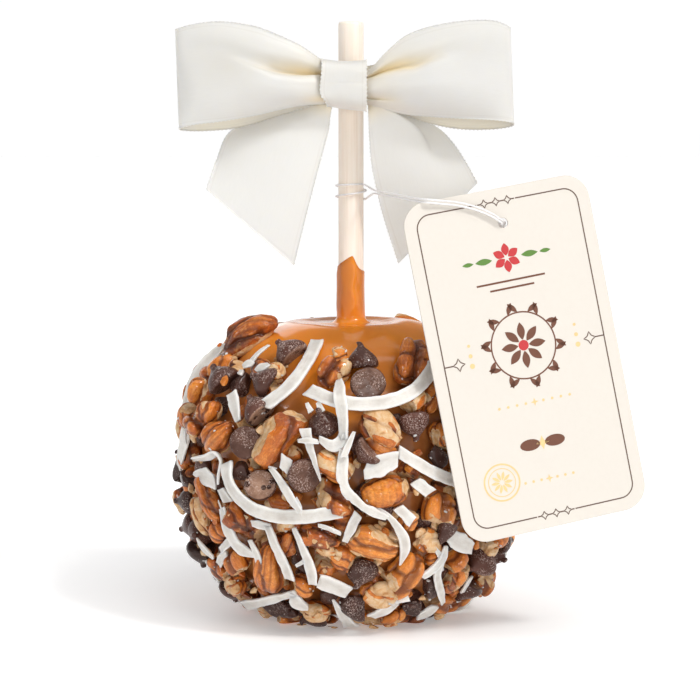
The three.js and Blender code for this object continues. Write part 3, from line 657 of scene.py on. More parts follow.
def tube(path, radius, sides=10, twist=None, lay=0.0):
    """A tube along a path, with a faint two-ply lay if lay is given."""
    P = np.asarray(path)
    T = np.gradient(P, axis=0)
    T /= np.linalg.norm(T, axis=1)[:, None]
    n = np.cross(T[0], [0.3, 0.2, 1.0])
    N = []
    for t in T:
        n = n - t * n.dot(t)
        n /= np.linalg.norm(n)
        N.append(n.copy())
    N = np.array(N)
    B = np.cross(T, N)
    s = np.concatenate([[0], np.cumsum(np.linalg.norm(np.diff(P, axis=0), axis=1))])
    a = np.arange(sides) / sides * 2 * math.pi
    A = a[None, :] + 0 * s[:, None]
    R = radius * (1 - lay + lay * np.abs(np.cos(A + s[:, None] * 2 * math.pi / 1.6)))
    V = P[:, None] + R[..., None] * (np.cos(A)[..., None] * N[:, None] + np.sin(A)[..., None] * B[:, None])
    m = len(P)
    V = np.concatenate([V.reshape(-1, 3), P[:1], P[-1:]])
    F4 = grid_faces(m, sides, wrap_v=True, flip=True)
    k = np.arange(sides)
    F3 = np.concatenate([np.stack([k, (k + 1) % sides, np.full(sides, m * sides)], 1)[:, ::-1] * 1,
                         np.stack([(m - 1) * sides + k, (m - 1) * sides + (k + 1) % sides, np.full(sides, m * sides + 1)], 1)])
    return V, F4, F3


ROUTE = centripetal(thread_route(), 7)
V, F4, F3 = tube(ROUTE, THREAD_D / 2, 12, lay=0.10)
thread = mesh_object("tag_thread_fine", V, [F4, F3], mat=MAT["thread"], slot="thread")
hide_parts("tag_thread")


# ------------------------------------------------------------------ caramel apple
def build_apple():
    nseg = 168
    lats = np.linspace(-84, 79.5, 100)
    r, z = skin(lats)
    keep = (lats < 60) | (r > COLLAR_R + COLLAR_FLARE + 0.5)
    lats, r, z = lats[keep], r[keep], z[keep]
    rings = [(0.001, z[0])] + list(zip(r, z))
    crown = float(skin(80.0)[1])
    rc = COLLAR_R
    for t in np.linspace(0.05, 1.0, 16):
        q = rad(90 * t)
        rings.append((rc + COLLAR_FLARE * (1 - math.sin(q)), crown - 0.05 + COLLAR_FLARE * (1 - math.cos(q))))
    z0 = rings[-1][1]
    for t in np.linspace(0.06, 1.0, 26):
        zz = z0 + (COLLAR_TOP - z0) * t
        rings.append((rc - 0.15 * t - 0.10 * math.sin(math.pi * t), zz))
    lip = len(rings)
    for t in np.linspace(0.15, 1.0, 7):
        q = t * math.pi / 2
        rings.append((STICK_R + 0.02 + (rc - 0.15 - STICK_R) * math.cos(q), COLLAR_TOP + 0.55 * math.sin(q)))
    rings.append((STICK_R - 0.35, COLLAR_TOP + 0.2))
    rings.append((STICK_R - 0.4, COLLAR_TOP - 8))
    R = np.array(rings)
    a = np.arange(nseg) / nseg * 2 * math.pi
    rr, aa = np.meshgrid(R[:, 0], a, indexing="ij")
    zz = np.repeat(R[:, 1][:, None], nseg, 1)
    P = np.stack([rr * np.sin(aa), -rr * np.cos(aa), zz], -1)
    # the collar's upper edge runs to a point right of the front, lower on the left, and thickens into runs below
    w = smooth(zz, 80.5, 87.5)[..., None]
    wave = -2.1 + 0.40 * np.cos(aa + 1.2)
    for a0, height, left, right in ((0.13, 3.5, 1.05, 0.36), (3.2, 0.9, 0.5, 0.6)):
        q = (aa - a0 + np.pi) % (2 * np.pi) - np.pi
        q = np.sqrt((q / np.where(q < 0, left, right)) ** 2 + 0.01)
        wave = wave + height * np.exp(-q ** 1.4)
    P[..., 2] += wave * w[..., 0]
    on_collar = smooth(zz, 74.6, 78) * (1 - smooth(rr, 5.4, 8.5)) * (rr > STICK_R)
    drift = 0.10 * np.sin(zz * 0.9)
    run = 0.42 * np.maximum(0, np.cos(aa - 0.16 - drift)) ** 26 + 0.20 * np.maximum(0, np.cos(aa + 0.62 + drift)) ** 30 + 0.16 * np.maximum(0, np.cos(aa - 0.85)) ** 20
    run = run + 0.22 * np.maximum(0, np.cos(aa + 1.6)) ** 8 + 0.30 * np.maximum(0, np.cos(aa - 2.4)) ** 12 + 0.26 * np.maximum(0, np.cos(aa - 3.6)) ** 14
    add = on_collar * run * (1 - smooth(zz, 86.5, 88.6))
    # painted shade: the collar's caramel goes darker amber between four unshaded bands round it, so its sides look
    # shaded from the front; it is also darker along its top edge
    unshaded_band = 0.0
    for a0 in (0.20, 1.62, 2.75, 4.30):
        unshaded_band = np.maximum(unshaded_band, np.exp(-((((aa - a0 + np.pi) % (2 * np.pi) - np.pi) / 0.52) ** 2)))
    sides = on_collar * (1 - unshaded_band) * 0.80 + smooth(zz, 87.4, 88.6) * 0.35 * (rr < 6)
    # uneven thickness of the dip
    d = P.reshape(-1, 3)
    lump = (0.55 * fbm(d / 17.0, 2) + 0.12 * fbm(d / 5.0, 2)).reshape(zz.shape) * smooth(rr, 5, 11)
    nr = np.stack([np.sin(aa), -np.cos(aa), 0 * aa], -1)
    P += nr * add[..., None]
    up = np.stack([0 * aa, 0 * aa, np.ones_like(aa)], -1)
    k = smooth(zz, 60, 72)[..., None]
    P += (nr * (1 - k) + up * k) * lump[..., None] * 0.8
    P[..., 2] += 1.7 * smooth(rr, 7, 16) * (1 - smooth(rr, 26, 33)) * (zz > 60)
    P[..., 2] = np.maximum(P[..., 2], 0.0)
    V = P.reshape(-1, 3)
    F = grid_faces(len(R), nseg, wrap_v=True, flip=False)
    # painted shade: caramel below the toppings' edge is marked for a darker colour in the gaps between pieces
    az = np.degrees(np.arctan2(V[:, 0], -V[:, 1]))
    rise = V[:, 2] - skin(rim_lat(az) - 1.5)[1]
    gap_shade = (1 - smooth(rise, -4.0, 6.0)) * (V[:, 2] < 75)
    return V, F, gap_shade, np.clip(sides, 0, 1).ravel()


# thick carries the collar's painted side shade, not a thickness of caramel
V, F, gap_shade, sides = build_apple()
apple = mesh_object("caramel_skin", V, [F], {"gap_shade": gap_shade, "thick": sides}, mat=MAT["caramel"], slot="caramel")
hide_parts("caramel_apple")

# ------------------------------------------------------------------ shapes of the toppings
def icosphere(n):
    """A unit sphere of 20 n n triangles."""
    b = bmesh.new()
    bmesh.ops.create_icosphere(b, subdivisions=1, radius=1.0)
    V0 = np.array([v.co[:] for v in b.verts])
    F0 = np.array([[v.index for v in f.verts] for f in b.faces])
    b.free()
    V, F, seen = [], [], {}

    def vert(p):
        k = tuple(np.round(p, 6))
        if k not in seen:
            seen[k] = len(V)
            V.append(p)
        return seen[k]

    for tri in F0:
        A, B_, C = V0[tri]
        g = {}
        for i in range(n + 1):
            for j in range(n + 1 - i):
                q = A + (B_ - A) * i / n + (C - A) * j / n
                g[i, j] = vert(q / np.linalg.norm(q))
        for i in range(n):
            for j in range(n - i):
                F.append((g[i, j], g[i + 1, j], g[i, j + 1]))
                if i + j < n - 1:
                    F.append((g[i + 1, j], g[i + 1, j + 1], g[i, j + 1]))
    V, F = np.array(V), np.array(F)
    E = np.concatenate([F[:, [0, 1]], F[:, [1, 2]], F[:, [2, 0]]])
    return V, F, E


ICO = {k: icosphere(k) for k in (1, 2, 3, 5, 6, 8, 9, 12, 18)}


def relax(P, E, times=1, amount=0.5):
    """Softens sharp creases: each point moves towards the mean of its neighbours."""
    n = np.bincount(E[:, 0], minlength=len(P))[:, None]
    for _ in range(times):
        m = np.stack([np.bincount(E[:, 0], P[E[:, 1], k], len(P)) for k in range(3)], 1) / n
        P = P + (m - P) * amount
    return P


def pecan(rs, L, W, H, cuts=2, n=14, style="s"):
    """A piece of a pecan half, length along x, its ridged back up z, swelling in rounded lobes with creases between.
    style g has two rows of lobes along one deep furrow, s a ridge between two furrows, t fine lengthwise wrinkles,
    x fine wrinkles across it, p one broad smooth face, f a pale broken face below. cuts is how many ends are broken,
    or a list of directions to break at, each with how far out the break lies and, where only skin is off, its depth.
    Gives the vertices and faces, how much skin is left, how dark the creases go (a painted shade), and a tone for each
    lobe that darkens towards its edges (a painted shade)."""
    d, F, E = ICO[n]
    p = 2.4
    s = (np.abs(d) ** p).sum(1) ** (-1 / p)
    u, v, w = (d * s[:, None]).T
    ph = rs.uniform(0, 6.28, 8)
    narrow = 1 - 0.13 * u - 0.12 * u * u + 0.06 * np.sin(4.0 * u + ph[0])
    half = np.array([L, W, H]) / 2
    size = (L * W * H) ** (1 / 3)
    bend = 0.10 * W * np.sin(1.6 * u + ph[1])
    P = np.stack([u * half[0] * 0.93, v * narrow * half[1] * 0.90 + bend, w * half[2] * 0.86], 1)
    seed = rs.uniform(0, 90, 3)
    warp = np.stack([fbm(P / (0.30 * size) + seed + 31 * k, 2) for k in range(3)], 1) * 0.10 * size
    Q = P + warp
    rows = {"g": (-0.50, 0.50), "s": (-0.66, 0.0, 0.66), "t": (-0.42, 0.46), "x": (0.0,), "p": (-0.1,), "f": (-0.50, 0.50)}[style]
    C, A = [], []
    for side in (1, -1):
        for v0 in (rows if side > 0 else (-0.48, 0.48)):
            pitch = rs.uniform(5.6, 8.2) * (2.4 if style in "tp" or (style == "s" and v0 == 0.0) else 1.6 if style == "x" or side < 0 else 1.0)
            k = max(1, int(round(L / pitch)))
            shift = rs.uniform(-0.35, 0.35)
            for j in range(k):
                x = (2 * (j + 0.5 + shift) / k - 1) * half[0] * 0.9
                C.append((x, (v0 + rs.normal(0, 0.09)) * half[1], side * half[2] * (0.78 - 0.25 * abs(v0))))
                A.append((min(half[0], 0.66 * L / k * rs.uniform(0.8, 1.25)), half[1] * (0.66 if len(rows) > 1 else 0.95) * rs.uniform(0.85, 1.2), half[2] * 0.95))
    C, A = np.array(C), np.array(A)
    D = np.sqrt((((Q[:, None] - C[None]) / A[None]) ** 2).sum(2))
    own = D.argmin(1)
    two = np.partition(D, 1, axis=1)[:, :2]
    gap = two[:, 1] - two[:, 0]
    crease = np.exp(-((gap / 0.17) ** 2))
    wide_crease = np.exp(-((gap / 0.30) ** 2))
    swell = np.clip(1 - two[:, 0] ** 2, -0.6, 1)
    deep = {"g": 0.62, "s": 0.52, "t": 0.34, "x": 0.35, "p": 0.2, "f": 0.55}[style]
    k = size / 8.0
    top = smooth(w, -0.3, 0.3)
    centre = np.zeros(len(P))
    if style == "g":
        centre = np.exp(-(((P[:, 1] - bend) / (0.13 * W)) ** 2)) * top
    move = k * (0.70 * swell - 0.80 * deep * crease - 0.80 * centre)
    fine = 0.0
    if style == "t":
        fine = 0.13 * np.sin(15 * v + 1.6 * np.sin(2.6 * u + ph[5]) + 1.2 * fbm(P / 2.5 + seed, 1)) * top
    elif style in "gsf":
        fine = 0.03 * np.sin(13 * v + 1.3 * np.sin(2.4 * u + ph[5]) + 1.6 * fbm(P / 2.2 + seed, 1)) * top
    elif style == "x":
        fine = 0.075 * np.sin(u * half[0] * 3.6 + 2.0 * v * v + 1.5 * fbm(P / 2.5 + seed, 1)) * top
    move = move + fine + 0.045 * size * fbm(P / (0.5 * size) + seed, 2) + 0.13 * fbm(P / 1.1 + seed, 2)
    P = P + d * move[:, None]
    # painted shade: how dark the skin goes along the creases, in a wide band round them and down a middle furrow,
    # partly the skin's own darker colour
    crease_shade = np.clip(0.55 * crease + 0.45 * wide_crease + centre + (0.45 * np.clip(-fine / 0.12, 0, 1) if style in "tx" else 0), 0, 1)
    # a tone for each lobe at random, plus a painted shade that darkens it towards the lobe's edges and the creases
    lobe_tone_and_shade = rs.uniform(-1, 1, len(C))[own] * (1 - crease) + 2.6 * (np.clip(1 - 1.25 * swell, 0, 1) - 0.35) + 0.9 * fbm(P / (0.35 * size) + seed * 2.1, 2)
    # skin rubbed or broken away: below, and in patches on the lobes
    under = smooth(-w, 0.05, 0.40)
    patch = fbm(P / (0.42 * size) + seed * 1.3, 2)
    if style == "f":
        stripe = np.exp(-(((v - 0.16 * np.sin(3.5 * u + ph[6])) / 0.13) ** 2)) * smooth(patch, -0.5, 0.0)
        sides = smooth(np.abs(v + 0.2 * np.sin(2.3 * u + ph[7])), 0.50, 0.72) * smooth(patch, -0.25, 0.10)
        flesh = under * (1 - 0.85 * stripe) * (1 - 0.9 * sides)
    else:
        flesh = np.maximum(under * smooth(patch, -0.15, 0.2) * 0.9, smooth(patch, 0.34, 0.50) * (0.7 if style in "gs" and rs.rand() < 0.45 else 0.0))
    if not isinstance(cuts, list):
        ends = [1, -1] if rs.rand() < 0.5 else [-1, 1]
        planes = []
        for c in range(cuts):
            if c == 0 or (c == 1 and rs.rand() < 0.5):
                q = (ends[c] * 1.0, rs.uniform(-0.6, 0.6), rs.uniform(-0.1, 0.65))
            else:
                q = (rs.uniform(-0.4, 0.4), rs.choice([-1, 1]), rs.uniform(0.1, 1.0))
            planes.append((*q, rs.uniform(0.40, 0.74)))
    else:
        planes = cuts
    for c in planes:
        depth = c[4] if len(c) > 4 else 0.93
        q = np.array(c[:3], float)
        q /= np.linalg.norm(q)
        off = (P @ q).max() * c[3]
        dist = P @ q - off + 0.07 * size * fbm(P / (0.22 * size) + seed * 0.7, 2)
        m = dist > 0
        P[m] -= q * dist[m][:, None] * depth
        flesh = np.maximum(flesh, smooth(dist, -0.05, 0.40))
        P[m] += q * (0.30 * fbm(P[m] / 2.8 + seed, 2) + 0.16 * fbm(P[m] / 0.9 + seed, 2))[:, None] * smooth(dist[m], 0, 0.4)[:, None]
    P = relax(P, E, 1, 0.32)
    return P, F, 1 - flesh, np.clip(crease_shade * (1 - 0.6 * flesh), 0, 1), lobe_tone_and_shade


CHIP_PROFILE = np.array([[0, 0.03], [0.16, 0.025], [0.32, 0.012], [0.42, 0.0], [0.475, 0.035], [0.498, 0.11], [0.490, 0.22], [0.455, 0.34],
                         [0.392, 0.46], [0.305, 0.575], [0.215, 0.68], [0.145, 0.765], [0.108, 0.825], [0.098, 0.875],
                         [0.100, 0.925], [0.072, 0.98], [0, 1.0]])


def chip(rs, D, H, seg=30, n=26):
    """A moulded drop of chocolate, its flat base down: vertices, faces, how near the base's flat side."""
    prof = catmull(CHIP_PROFILE, n)
    prof[:, 0] = np.maximum(prof[:, 0], 0)
    a = np.arange(seg) / seg * 2 * math.pi
    inner = prof[1:-1]
    r = inner[:, 0][:, None] * D * (1 + 0.035 * np.cos(2 * a + rs.uniform(0, 6)))[None]
    z = np.repeat((inner[:, 1] * H)[:, None], seg, 1)
    t = (z / H)
    lean = rs.uniform(-1, 1, 2) * 0.10 * D
    curl = rs.uniform(-1, 1, 2) * 0.05 * D
    tip = smooth(t, 0.84, 1.0)
    x = r * np.cos(a) + lean[0] * t ** 2 + curl[0] * tip
    y = r * np.sin(a) + lean[1] * t ** 2 + curl[1] * tip
    V = np.concatenate([np.stack([x, y, z], -1).reshape(-1, 3), [[0, 0, prof[0, 1] * H], [lean[0] + curl[0], lean[1] + curl[1], H]]])
    seed = rs.uniform(0, 90, 3)
    V = V + (V - [0, 0, 0.4 * H]) / D * (0.34 * fbm(V / 2.8 + seed, 2) + 0.08 * fbm(V / 0.9 + seed, 1))[:, None]
    disc = np.concatenate([np.repeat(np.arange(len(inner)) < 6, seg), [True, False]]).astype(float)
    V[:, 2] -= 0.40 * H
    m = len(inner)
    F4 = grid_faces(m, seg, wrap_v=True, flip=True)
    k = np.arange(seg)
    F3 = np.concatenate([np.stack([(k + 1) % seg, k, np.full(seg, m * seg)], 1),
                         np.stack([(m - 1) * seg + k, (m - 1) * seg + (k + 1) % seg, np.full(seg, m * seg + 1)], 1)])
    return V, [F4, F3], disc


def shard(rs, L, W, H, n=8, cuts=5):
    """A broken piece of chocolate or nut: a lumpy block with flat broken sides."""
    d, F, E = ICO[n]
    p = 3.2
    s = (np.abs(d) ** p).sum(1) ** (-1 / p)
    P = d * s[:, None] * [L / 2, W / 2, H / 2]
    seed = rs.uniform(0, 90, 3)
    size = (L * W * H) ** (1 / 3)
    P += d * (0.08 * size * fbm(P / (0.45 * size) + seed, 2))[:, None]
    for c in range(cuts):
        q = rs.normal(size=3)
        q /= np.linalg.norm(q)
        off = (P @ q).max() * rs.uniform(0.45, 0.8)
        dist = P @ q - off
        m = dist > 0
        P[m] -= q * dist[m][:, None] * 0.97
    if n >= 6:
        P = relax(P, E, 1, 0.4)
        P += d * (0.10 * fbm(P / 0.8 + seed, 2))[:, None]
    return P, F


def shaving(rs, path, outs, widths, thick, roll=0.0, n=26, ragged=1.0, cut=(0.0, 0.0)):
    """A flat strip of coconut along a path of points, its flat side facing outs turned by roll degrees. cut slants its
    two ends."""
    P = catmull(path, n)
    O = catmull(outs, n)
    T = np.gradient(P, axis=0)
    T /= np.linalg.norm(T, axis=1)[:, None]
    S = np.cross(O, T)
    S /= np.linalg.norm(S, axis=1)[:, None]
    N = np.cross(T, S)
    t = np.linspace(0, 1, n)
    roll, widths = np.atleast_1d(roll), np.atleast_1d(widths)
    q = np.radians(np.interp(t, np.linspace(0, 1, len(roll)), roll) if len(roll) > 1 else np.full(n, roll[0]))
    width = catmull(widths, n) if len(widths) > 1 else np.full(n, float(widths[0]))
    S2 = S * np.cos(q)[:, None] + N * np.sin(q)[:, None]
    N2 = np.cross(T, S2)
    seed = rs.uniform(0, 90)
    s = np.concatenate([[0], np.cumsum(np.linalg.norm(np.diff(P, axis=0), axis=1))])

    def edge(k, octaves, f=0.55):
        return fbm(np.stack([s * f + seed + k, 0 * t + k, 0 * t], 1), octaves)

    nick = np.clip(edge(70, 2, 1.3) - 0.30, 0, 1) * 0.8
    wl = width / 2 * (1 + ragged * (0.12 * edge(0, 2) - 0.5 * nick))
    wr = width / 2 * (1 + ragged * (0.17 * edge(40, 3)))
    th = thick / 2 * np.minimum(1, 0.35 + 0.65 * width / 1.6)
    c = np.array([(-1.0, -0.30), (-0.985, 0.55), (-0.90, 0.95), (-0.35, 1.0), (0.35, 0.97), (0.90, 0.85), (0.985, 0.45), (1.0, -0.40),
                  (0.92, -0.90), (0.35, -1.0), (-0.35, -1.0), (-0.92, -0.90)])
    a, b = c[:, 0], c[:, 1]
    wide = np.where(a[None] < 0, wl[:, None], wr[:, None]) * a[None]
    trough = 0.10 * width[:, None] * (a[None] ** 2 - 0.4)
    curl = 0.16 * ragged * np.minimum(width, 3.0)[:, None] * edge(90, 1, 0.3)[:, None] * a[None]
    slant = wide * (math.tan(rad(cut[0])) * np.exp(-s / 1.8) + math.tan(rad(cut[1])) * np.exp(-(s[-1] - s) / 1.8))[:, None]
    V = P[:, None] + S2[:, None] * wide[..., None] + N2[:, None] * (th[:, None] * b[None] + trough + curl)[..., None] + T[:, None] * slant[..., None]
    k = len(c)
    V = np.concatenate([V.reshape(-1, 3), V[0].mean(0)[None] - T[:1] * 0.05, V[-1].mean(0)[None] + T[-1:] * 0.05])
    V = V + 0.08 * fbm(V / 1.1, 2)[:, None] * np.array([[0.6, 0.6, 0.6]])
    F4 = grid_faces(n, k, wrap_v=True, flip=True)
    i = np.arange(k)
    F3 = np.concatenate([np.stack([(i + 1) % k, i, np.full(k, n * k)], 1),
                         np.stack([(n - 1) * k + i, (n - 1) * k + (i + 1) % k, np.full(k, n * k + 1)], 1)])
    loc = np.concatenate([np.stack([np.repeat(s[:, None], k, 1), wide, np.repeat((b * thick / 2)[None], n, 0)], -1).reshape(-1, 3),
                          [[0, 0, 0], [s[-1], 0, 0]]]) + seed * 3
    # the cut edges, marked for a lighter colour as a painted highlight
    side = np.concatenate([np.repeat((np.abs(a) > 0.86).astype(float)[None], n, 0).ravel(), [1.0, 1.0]])
    return V, [F4, F3], loc, side


# ------------------------------------------------------------------ laying the toppings
KINDS = ("pecans_large", "pecans_mid", "pecan_bed", "chips", "chocolate_bits", "coconut", "nut_crumbs")
B = {k: Batch() for k in KINDS}
PLANE_IN = TAG_FACE - TAG_T - 0.3


def above_plate(V):
    """Nothing goes below the plate."""
    V = V.copy()
    z = V[:, 2]
    V[:, 2] = np.where(z < 1.0, np.exp(np.minimum(z - 1.0, 0)), z)
    return V


def past_card(V):
    """How far the piece reaches through the card's plane where the card is."""
    rel = V - TAG_MID
    near = (np.abs(rel @ TAG_X) < TAG_W / 2 + 1.5) & (np.abs(rel @ TAG_Y) < TAG_H / 2 + 1.5)
    return float((V @ TAG_OUT - PLANE_IN)[near].max()) if near.any() else -9.0


def clear_card(V):
    """Moves a piece back from the card's plane."""
    d = past_card(V)
    return V - TAG_OUT * d if d > 0 else V


def axes(az, lat, h, direction, elevation):
    """Place and axes of a piece whose own z points in a direction (from right towards up) raised off the skin."""
    p, out, right, up = place(az, lat, h)
    e, q = rad(elevation), rad(direction)
    z = math.cos(e) * (math.cos(q) * right + math.sin(q) * up) + math.sin(e) * out
    x = np.cross(out if abs(elevation) < 80 else up, z)
    x /= np.linalg.norm(x)
    return p, x, np.cross(z, x), z


def lay(P, az, lat, h, spin=0.0, tilt=0.0, roll=0.0):
    """Puts a piece made at the origin on the apple: spin turns its length from level to upright, tilt lifts its +x end,
    roll turns it about its length."""
    p, out, right, up = place(az, lat, h)
    x = right * math.cos(rad(spin)) + up * math.sin(rad(spin))
    y = np.cross(out, x)
    c, s = math.cos(rad(roll)), math.sin(rad(roll))
    Y, Z = P[:, 1] * c - P[:, 2] * s, P[:, 1] * s + P[:, 2] * c
    c, s = math.cos(rad(tilt)), math.sin(rad(tilt))
    X, Z = P[:, 0] * c - Z * s, P[:, 0] * s + Z * c
    # a long piece bends a little round the apple
    Z = Z - 0.5 * (X ** 2 + Y ** 2) / 75.0
    return clear_card(above_plate(p + X[:, None] * x + Y[:, None] * y + Z[:, None] * out))


def loc_of(P, rs):
    return P + rs.uniform(-400, 400, 3)


def make_pecan(rs, az, lat, h, spin, L, W, H, tone, cuts=2, tilt=0, roll=0, n=14, style="s"):
    P, F, sk, crease_shade, lobe_tone_and_shade = pecan(rs, L, W, H, cuts, n, style)
    return lay(P, az, lat, h, spin, tilt, roll), [F], dict(skin=sk, furrow=crease_shade, tone=np.clip(tone + 0.13 * lobe_tone_and_shade, 0, 1), rnd=rs.rand(), loc=loc_of(P, rs))


def make_chip(rs, az, lat, h, direction, elevation, D=9.0, H=6.6, bloom=0.3, tone=0.4):
    P, F, disc = chip(rs, D, H)
    p, x, y, z = axes(az, lat, h, direction, elevation)
    V = clear_card(above_plate(p + P[:, :1] * x + P[:, 1:2] * y + P[:, 2:] * z))
    return V, F, dict(tone=tone, bloom=bloom, disc=disc, loc=loc_of(P, rs))


def make_choc(rs, az, lat, h, spin, L, W, H, tilt=0, bloom=0.2, tone=0.4, n=8):
    P, F = shard(rs, L, W, H, n)
    return lay(P, az, lat, h, spin, tilt, 0), [F], dict(tone=tone, bloom=bloom, disc=np.zeros(len(P)), loc=loc_of(P, rs))


def make_strip(rs, line, widths, thick=0.9, roll=0.0, n=26, ragged=1.0, cut=None):
    line = np.asarray(line, float)
    if len(line) == 2:
        line = np.array([line[0], line.mean(0), line[1]])
    p, out, _, _ = place(line[:, 0], line[:, 1], line[:, 2])
    cut = (rs.uniform(-32, 32), rs.uniform(-32, 32)) if cut is None else cut
    V, F, loc, side = shaving(rs, p, out, widths, thick, roll, n, ragged, cut)
    return clear_card(above_plate(V)), F, dict(loc=loc, side=side)


def fray(rs, line, widths, count):
    """Loose fibres off the ends of a strip of coconut."""
    L = np.asarray(line, float)
    for k in range(count):
        first = rs.rand() < 0.5
        a, b = (L[0], L[1]) if first else (L[-1], L[-2])
        w = np.atleast_1d(widths)[0 if first else -1]
        r = float(skin(a[1])[0]) + a[2]
        d = np.array([rad(a[0] - b[0]) * r, rad(a[1] - b[1]) * 42.0])
        d /= np.hypot(*d) + 1e-9
        q = rad(rs.uniform(8, 32) * rs.choice([-1, 1]))
        e = np.array([d[0] * math.cos(q) - d[1] * math.sin(q), d[0] * math.sin(q) + d[1] * math.cos(q)])
        t = np.linspace(-rs.uniform(1.0, 3.5), rs.uniform(0.8, 2.2), 4)
        xy = t[:, None] * e + np.array([-d[1], d[0]]) * rs.uniform(-0.3, 0.3) * w + rs.uniform(-0.10, 0.10) * (t ** 2)[:, None] * np.array([-e[1], e[0]])
        pts = np.stack([a[0] + np.degrees(xy[:, 0] / r), a[1] + np.degrees(xy[:, 1] / 42.0), a[2] + rs.uniform(-0.5, 0.6, 4)], 1)
        u = rs.uniform(0.35, 0.8)
        V, F, at = make_strip(rs, pts, [u * 1.3, u * 1.2, u, u * 0.3], 0.45, rs.uniform(-30, 30), 8)
        B["coconut"].add(V, F, **at)


def arc_line(rs, az, lat, h, spin, length, bend, lift=0.0):
    """A line of [az, lat, h] of a given length through a spot, curving by bend degrees from end to end."""
    k = 7
    s = np.linspace(-0.5, 0.5, k)
    ang = np.radians(spin + bend * s)
    x = np.cumsum(np.cos(ang)) * length / (k - 1)
    y = np.cumsum(np.sin(ang)) * length / (k - 1)
    x -= x.mean()
    y -= y.mean()
    r = float(skin(lat)[0]) + h
    return np.stack([az + np.degrees(x / max(r, 12.0)), lat + np.degrees(y / 42.0), h + lift * (s * 2) ** 2 + rs.uniform(-0.3, 0.3, k)], 1)


# The pieces that are solids of their own: az, lat, h, spin, length, width, height, then tone, broken ends, roll, style
PECAN_NODES = {
    "pecan_shoulder_left": (-69, 48.5, 3.6, 62, 17.5, 9.5, 7.5, 0.76, [(-0.85, 0.45, 0.35, 0.62)], 8, "t"),
    "pecan_rim_mid": (-6.6, 38.0, 2.9, 70, 11.2, 7.2, 5.8, 0.60, [(1, 0.0, 0.75, 0.50, 0.8), (-0.2, -1, 0.35, 0.76, 0.5)], 0, "g"),
    "pecan_rim_right": (26.4, 40.0, 3.4, 62, 15.0, 8.8, 7.2, 0.52, [], 0, "g"),
    "pecan_cup_left": (-23.5, 14.5, 5.4, 55, 18, 10.0, 7, 0.40, [(-0.1, 0.72, 0.69, 0.60), (1, 0.3, 0.35, 0.80), (-1, 0.1, 0.1, 0.90)], 0, "p"),
    "pecan_front_mid": (9.6, 16.8, 5.2, -35, 12.6, 8.4, 6.4, 0.62, [(1, 0.2, 0.1, 0.7)], 162, "f"),
    "pecan_front_striped": (11.4, -2.0, 5.2, 6, 13.2, 8.0, 7.0, 0.16, [(1, 0.1, 0.35, 0.66, 0.4)], 0, "x"),
    "pecan_front_low": (7.2, -19.3, 5.2, -24, 15.5, 9.5, 7, 0.05, [(1, 0.3, -0.1, 0.74), (-1, 0.2, 0.1, 0.80), (0.15, 0.95, 0.30, 0.66, 0.9), (0.1, -0.9, 0.45, 0.80)], 0, "t"),
    "pecan_tall_low": (-30, -30.5, 5, 82, 16.5, 7.5, 6.5, 0.28, [(-1, 0.5, 0.3, 0.8)], 0, "t"),
    "pecan_foot_right": (17.9, -31, 4.8, 62, 14, 9, 7, 0.08, [(-0.7, 0.75, 0.45, 0.45)], 0, "g"),
}
CHIP_NODES = {                      # az, lat, h, direction and elevation of the tip, diameter, height, bloom
    "chip_shoulder_left": (-30.6, 44.5, 3.2, 150, 30, 8.2, 6.4, 0.9),
    "chip_rim_tip": (5.2, 42.2, 3.1, 92, 40, 7.4, 6.4, 0.25),
    "chip_rim_disc": (6.0, 32.0, 3.6, 90, -60, 8.2, 5.8, 0.70),
    "chip_shoulder_far": (-57, 31, 4.6, 140, 38, 8.6, 6.4, 0.5),
    "chip_upper_left": (-34.0, 31.6, 4.4, 165, 35, 8.0, 6.0, 0.6),
    "chip_front_mid": (-9.3, 20.0, 4.6, 100, 52, 7.6, 6.2, 0.35),
    "chip_front_pale": (-15.5, 3.2, 4.8, 170, -48, 8.4, 6.2, 0.68),
}
STRIP_NODES = {                     # line of az, lat, h, width, thickness
    "coconut_curl_left": ([[-19.5, 52.0, 1.9], [-18.5, 39.5, 3.4], [-22.0, 29.6, 5.2], [-29.2, 22.9, 6.2]], 3.5, 1.0, (8, -30)),
    "coconut_arc_front": ([[-14.6, 28.6, 5.6], [-5.5, 25.2, 7.4], [3, 24, 7.6], [12, 24.8, 7.4], [20.8, 27.6, 6.8], [29.1, 33, 6.2], [34.6, 38.5, 5.2]], 3.3, 1.0, (20, 0)),
    "coconut_sweep_left": ([[-40.6, 5.2, 6.8], [-39.2, 0.0, 7.6], [-35.4, -4.9, 8.0], [-29.3, -8.5, 8.2], [-22.2, -10.0, 8.0], [-14.0, -9.9, 7.8], [-7.4, -8.8, 7.4], [-2.4, -8.0, 6.8]], 3.3, 1.0, (-10, 10)),
    "coconut_wave_front": ([[-2.3, 11.4, 7.2], [-2.2, 0.6, 8.2], [3.2, -6, 8.4], [10.5, -10.2, 7.6]], [2.0, 2.7, 2.2, 2.5, 1.9, 2.1, 1.3], 1.0, (0, 25)),
}
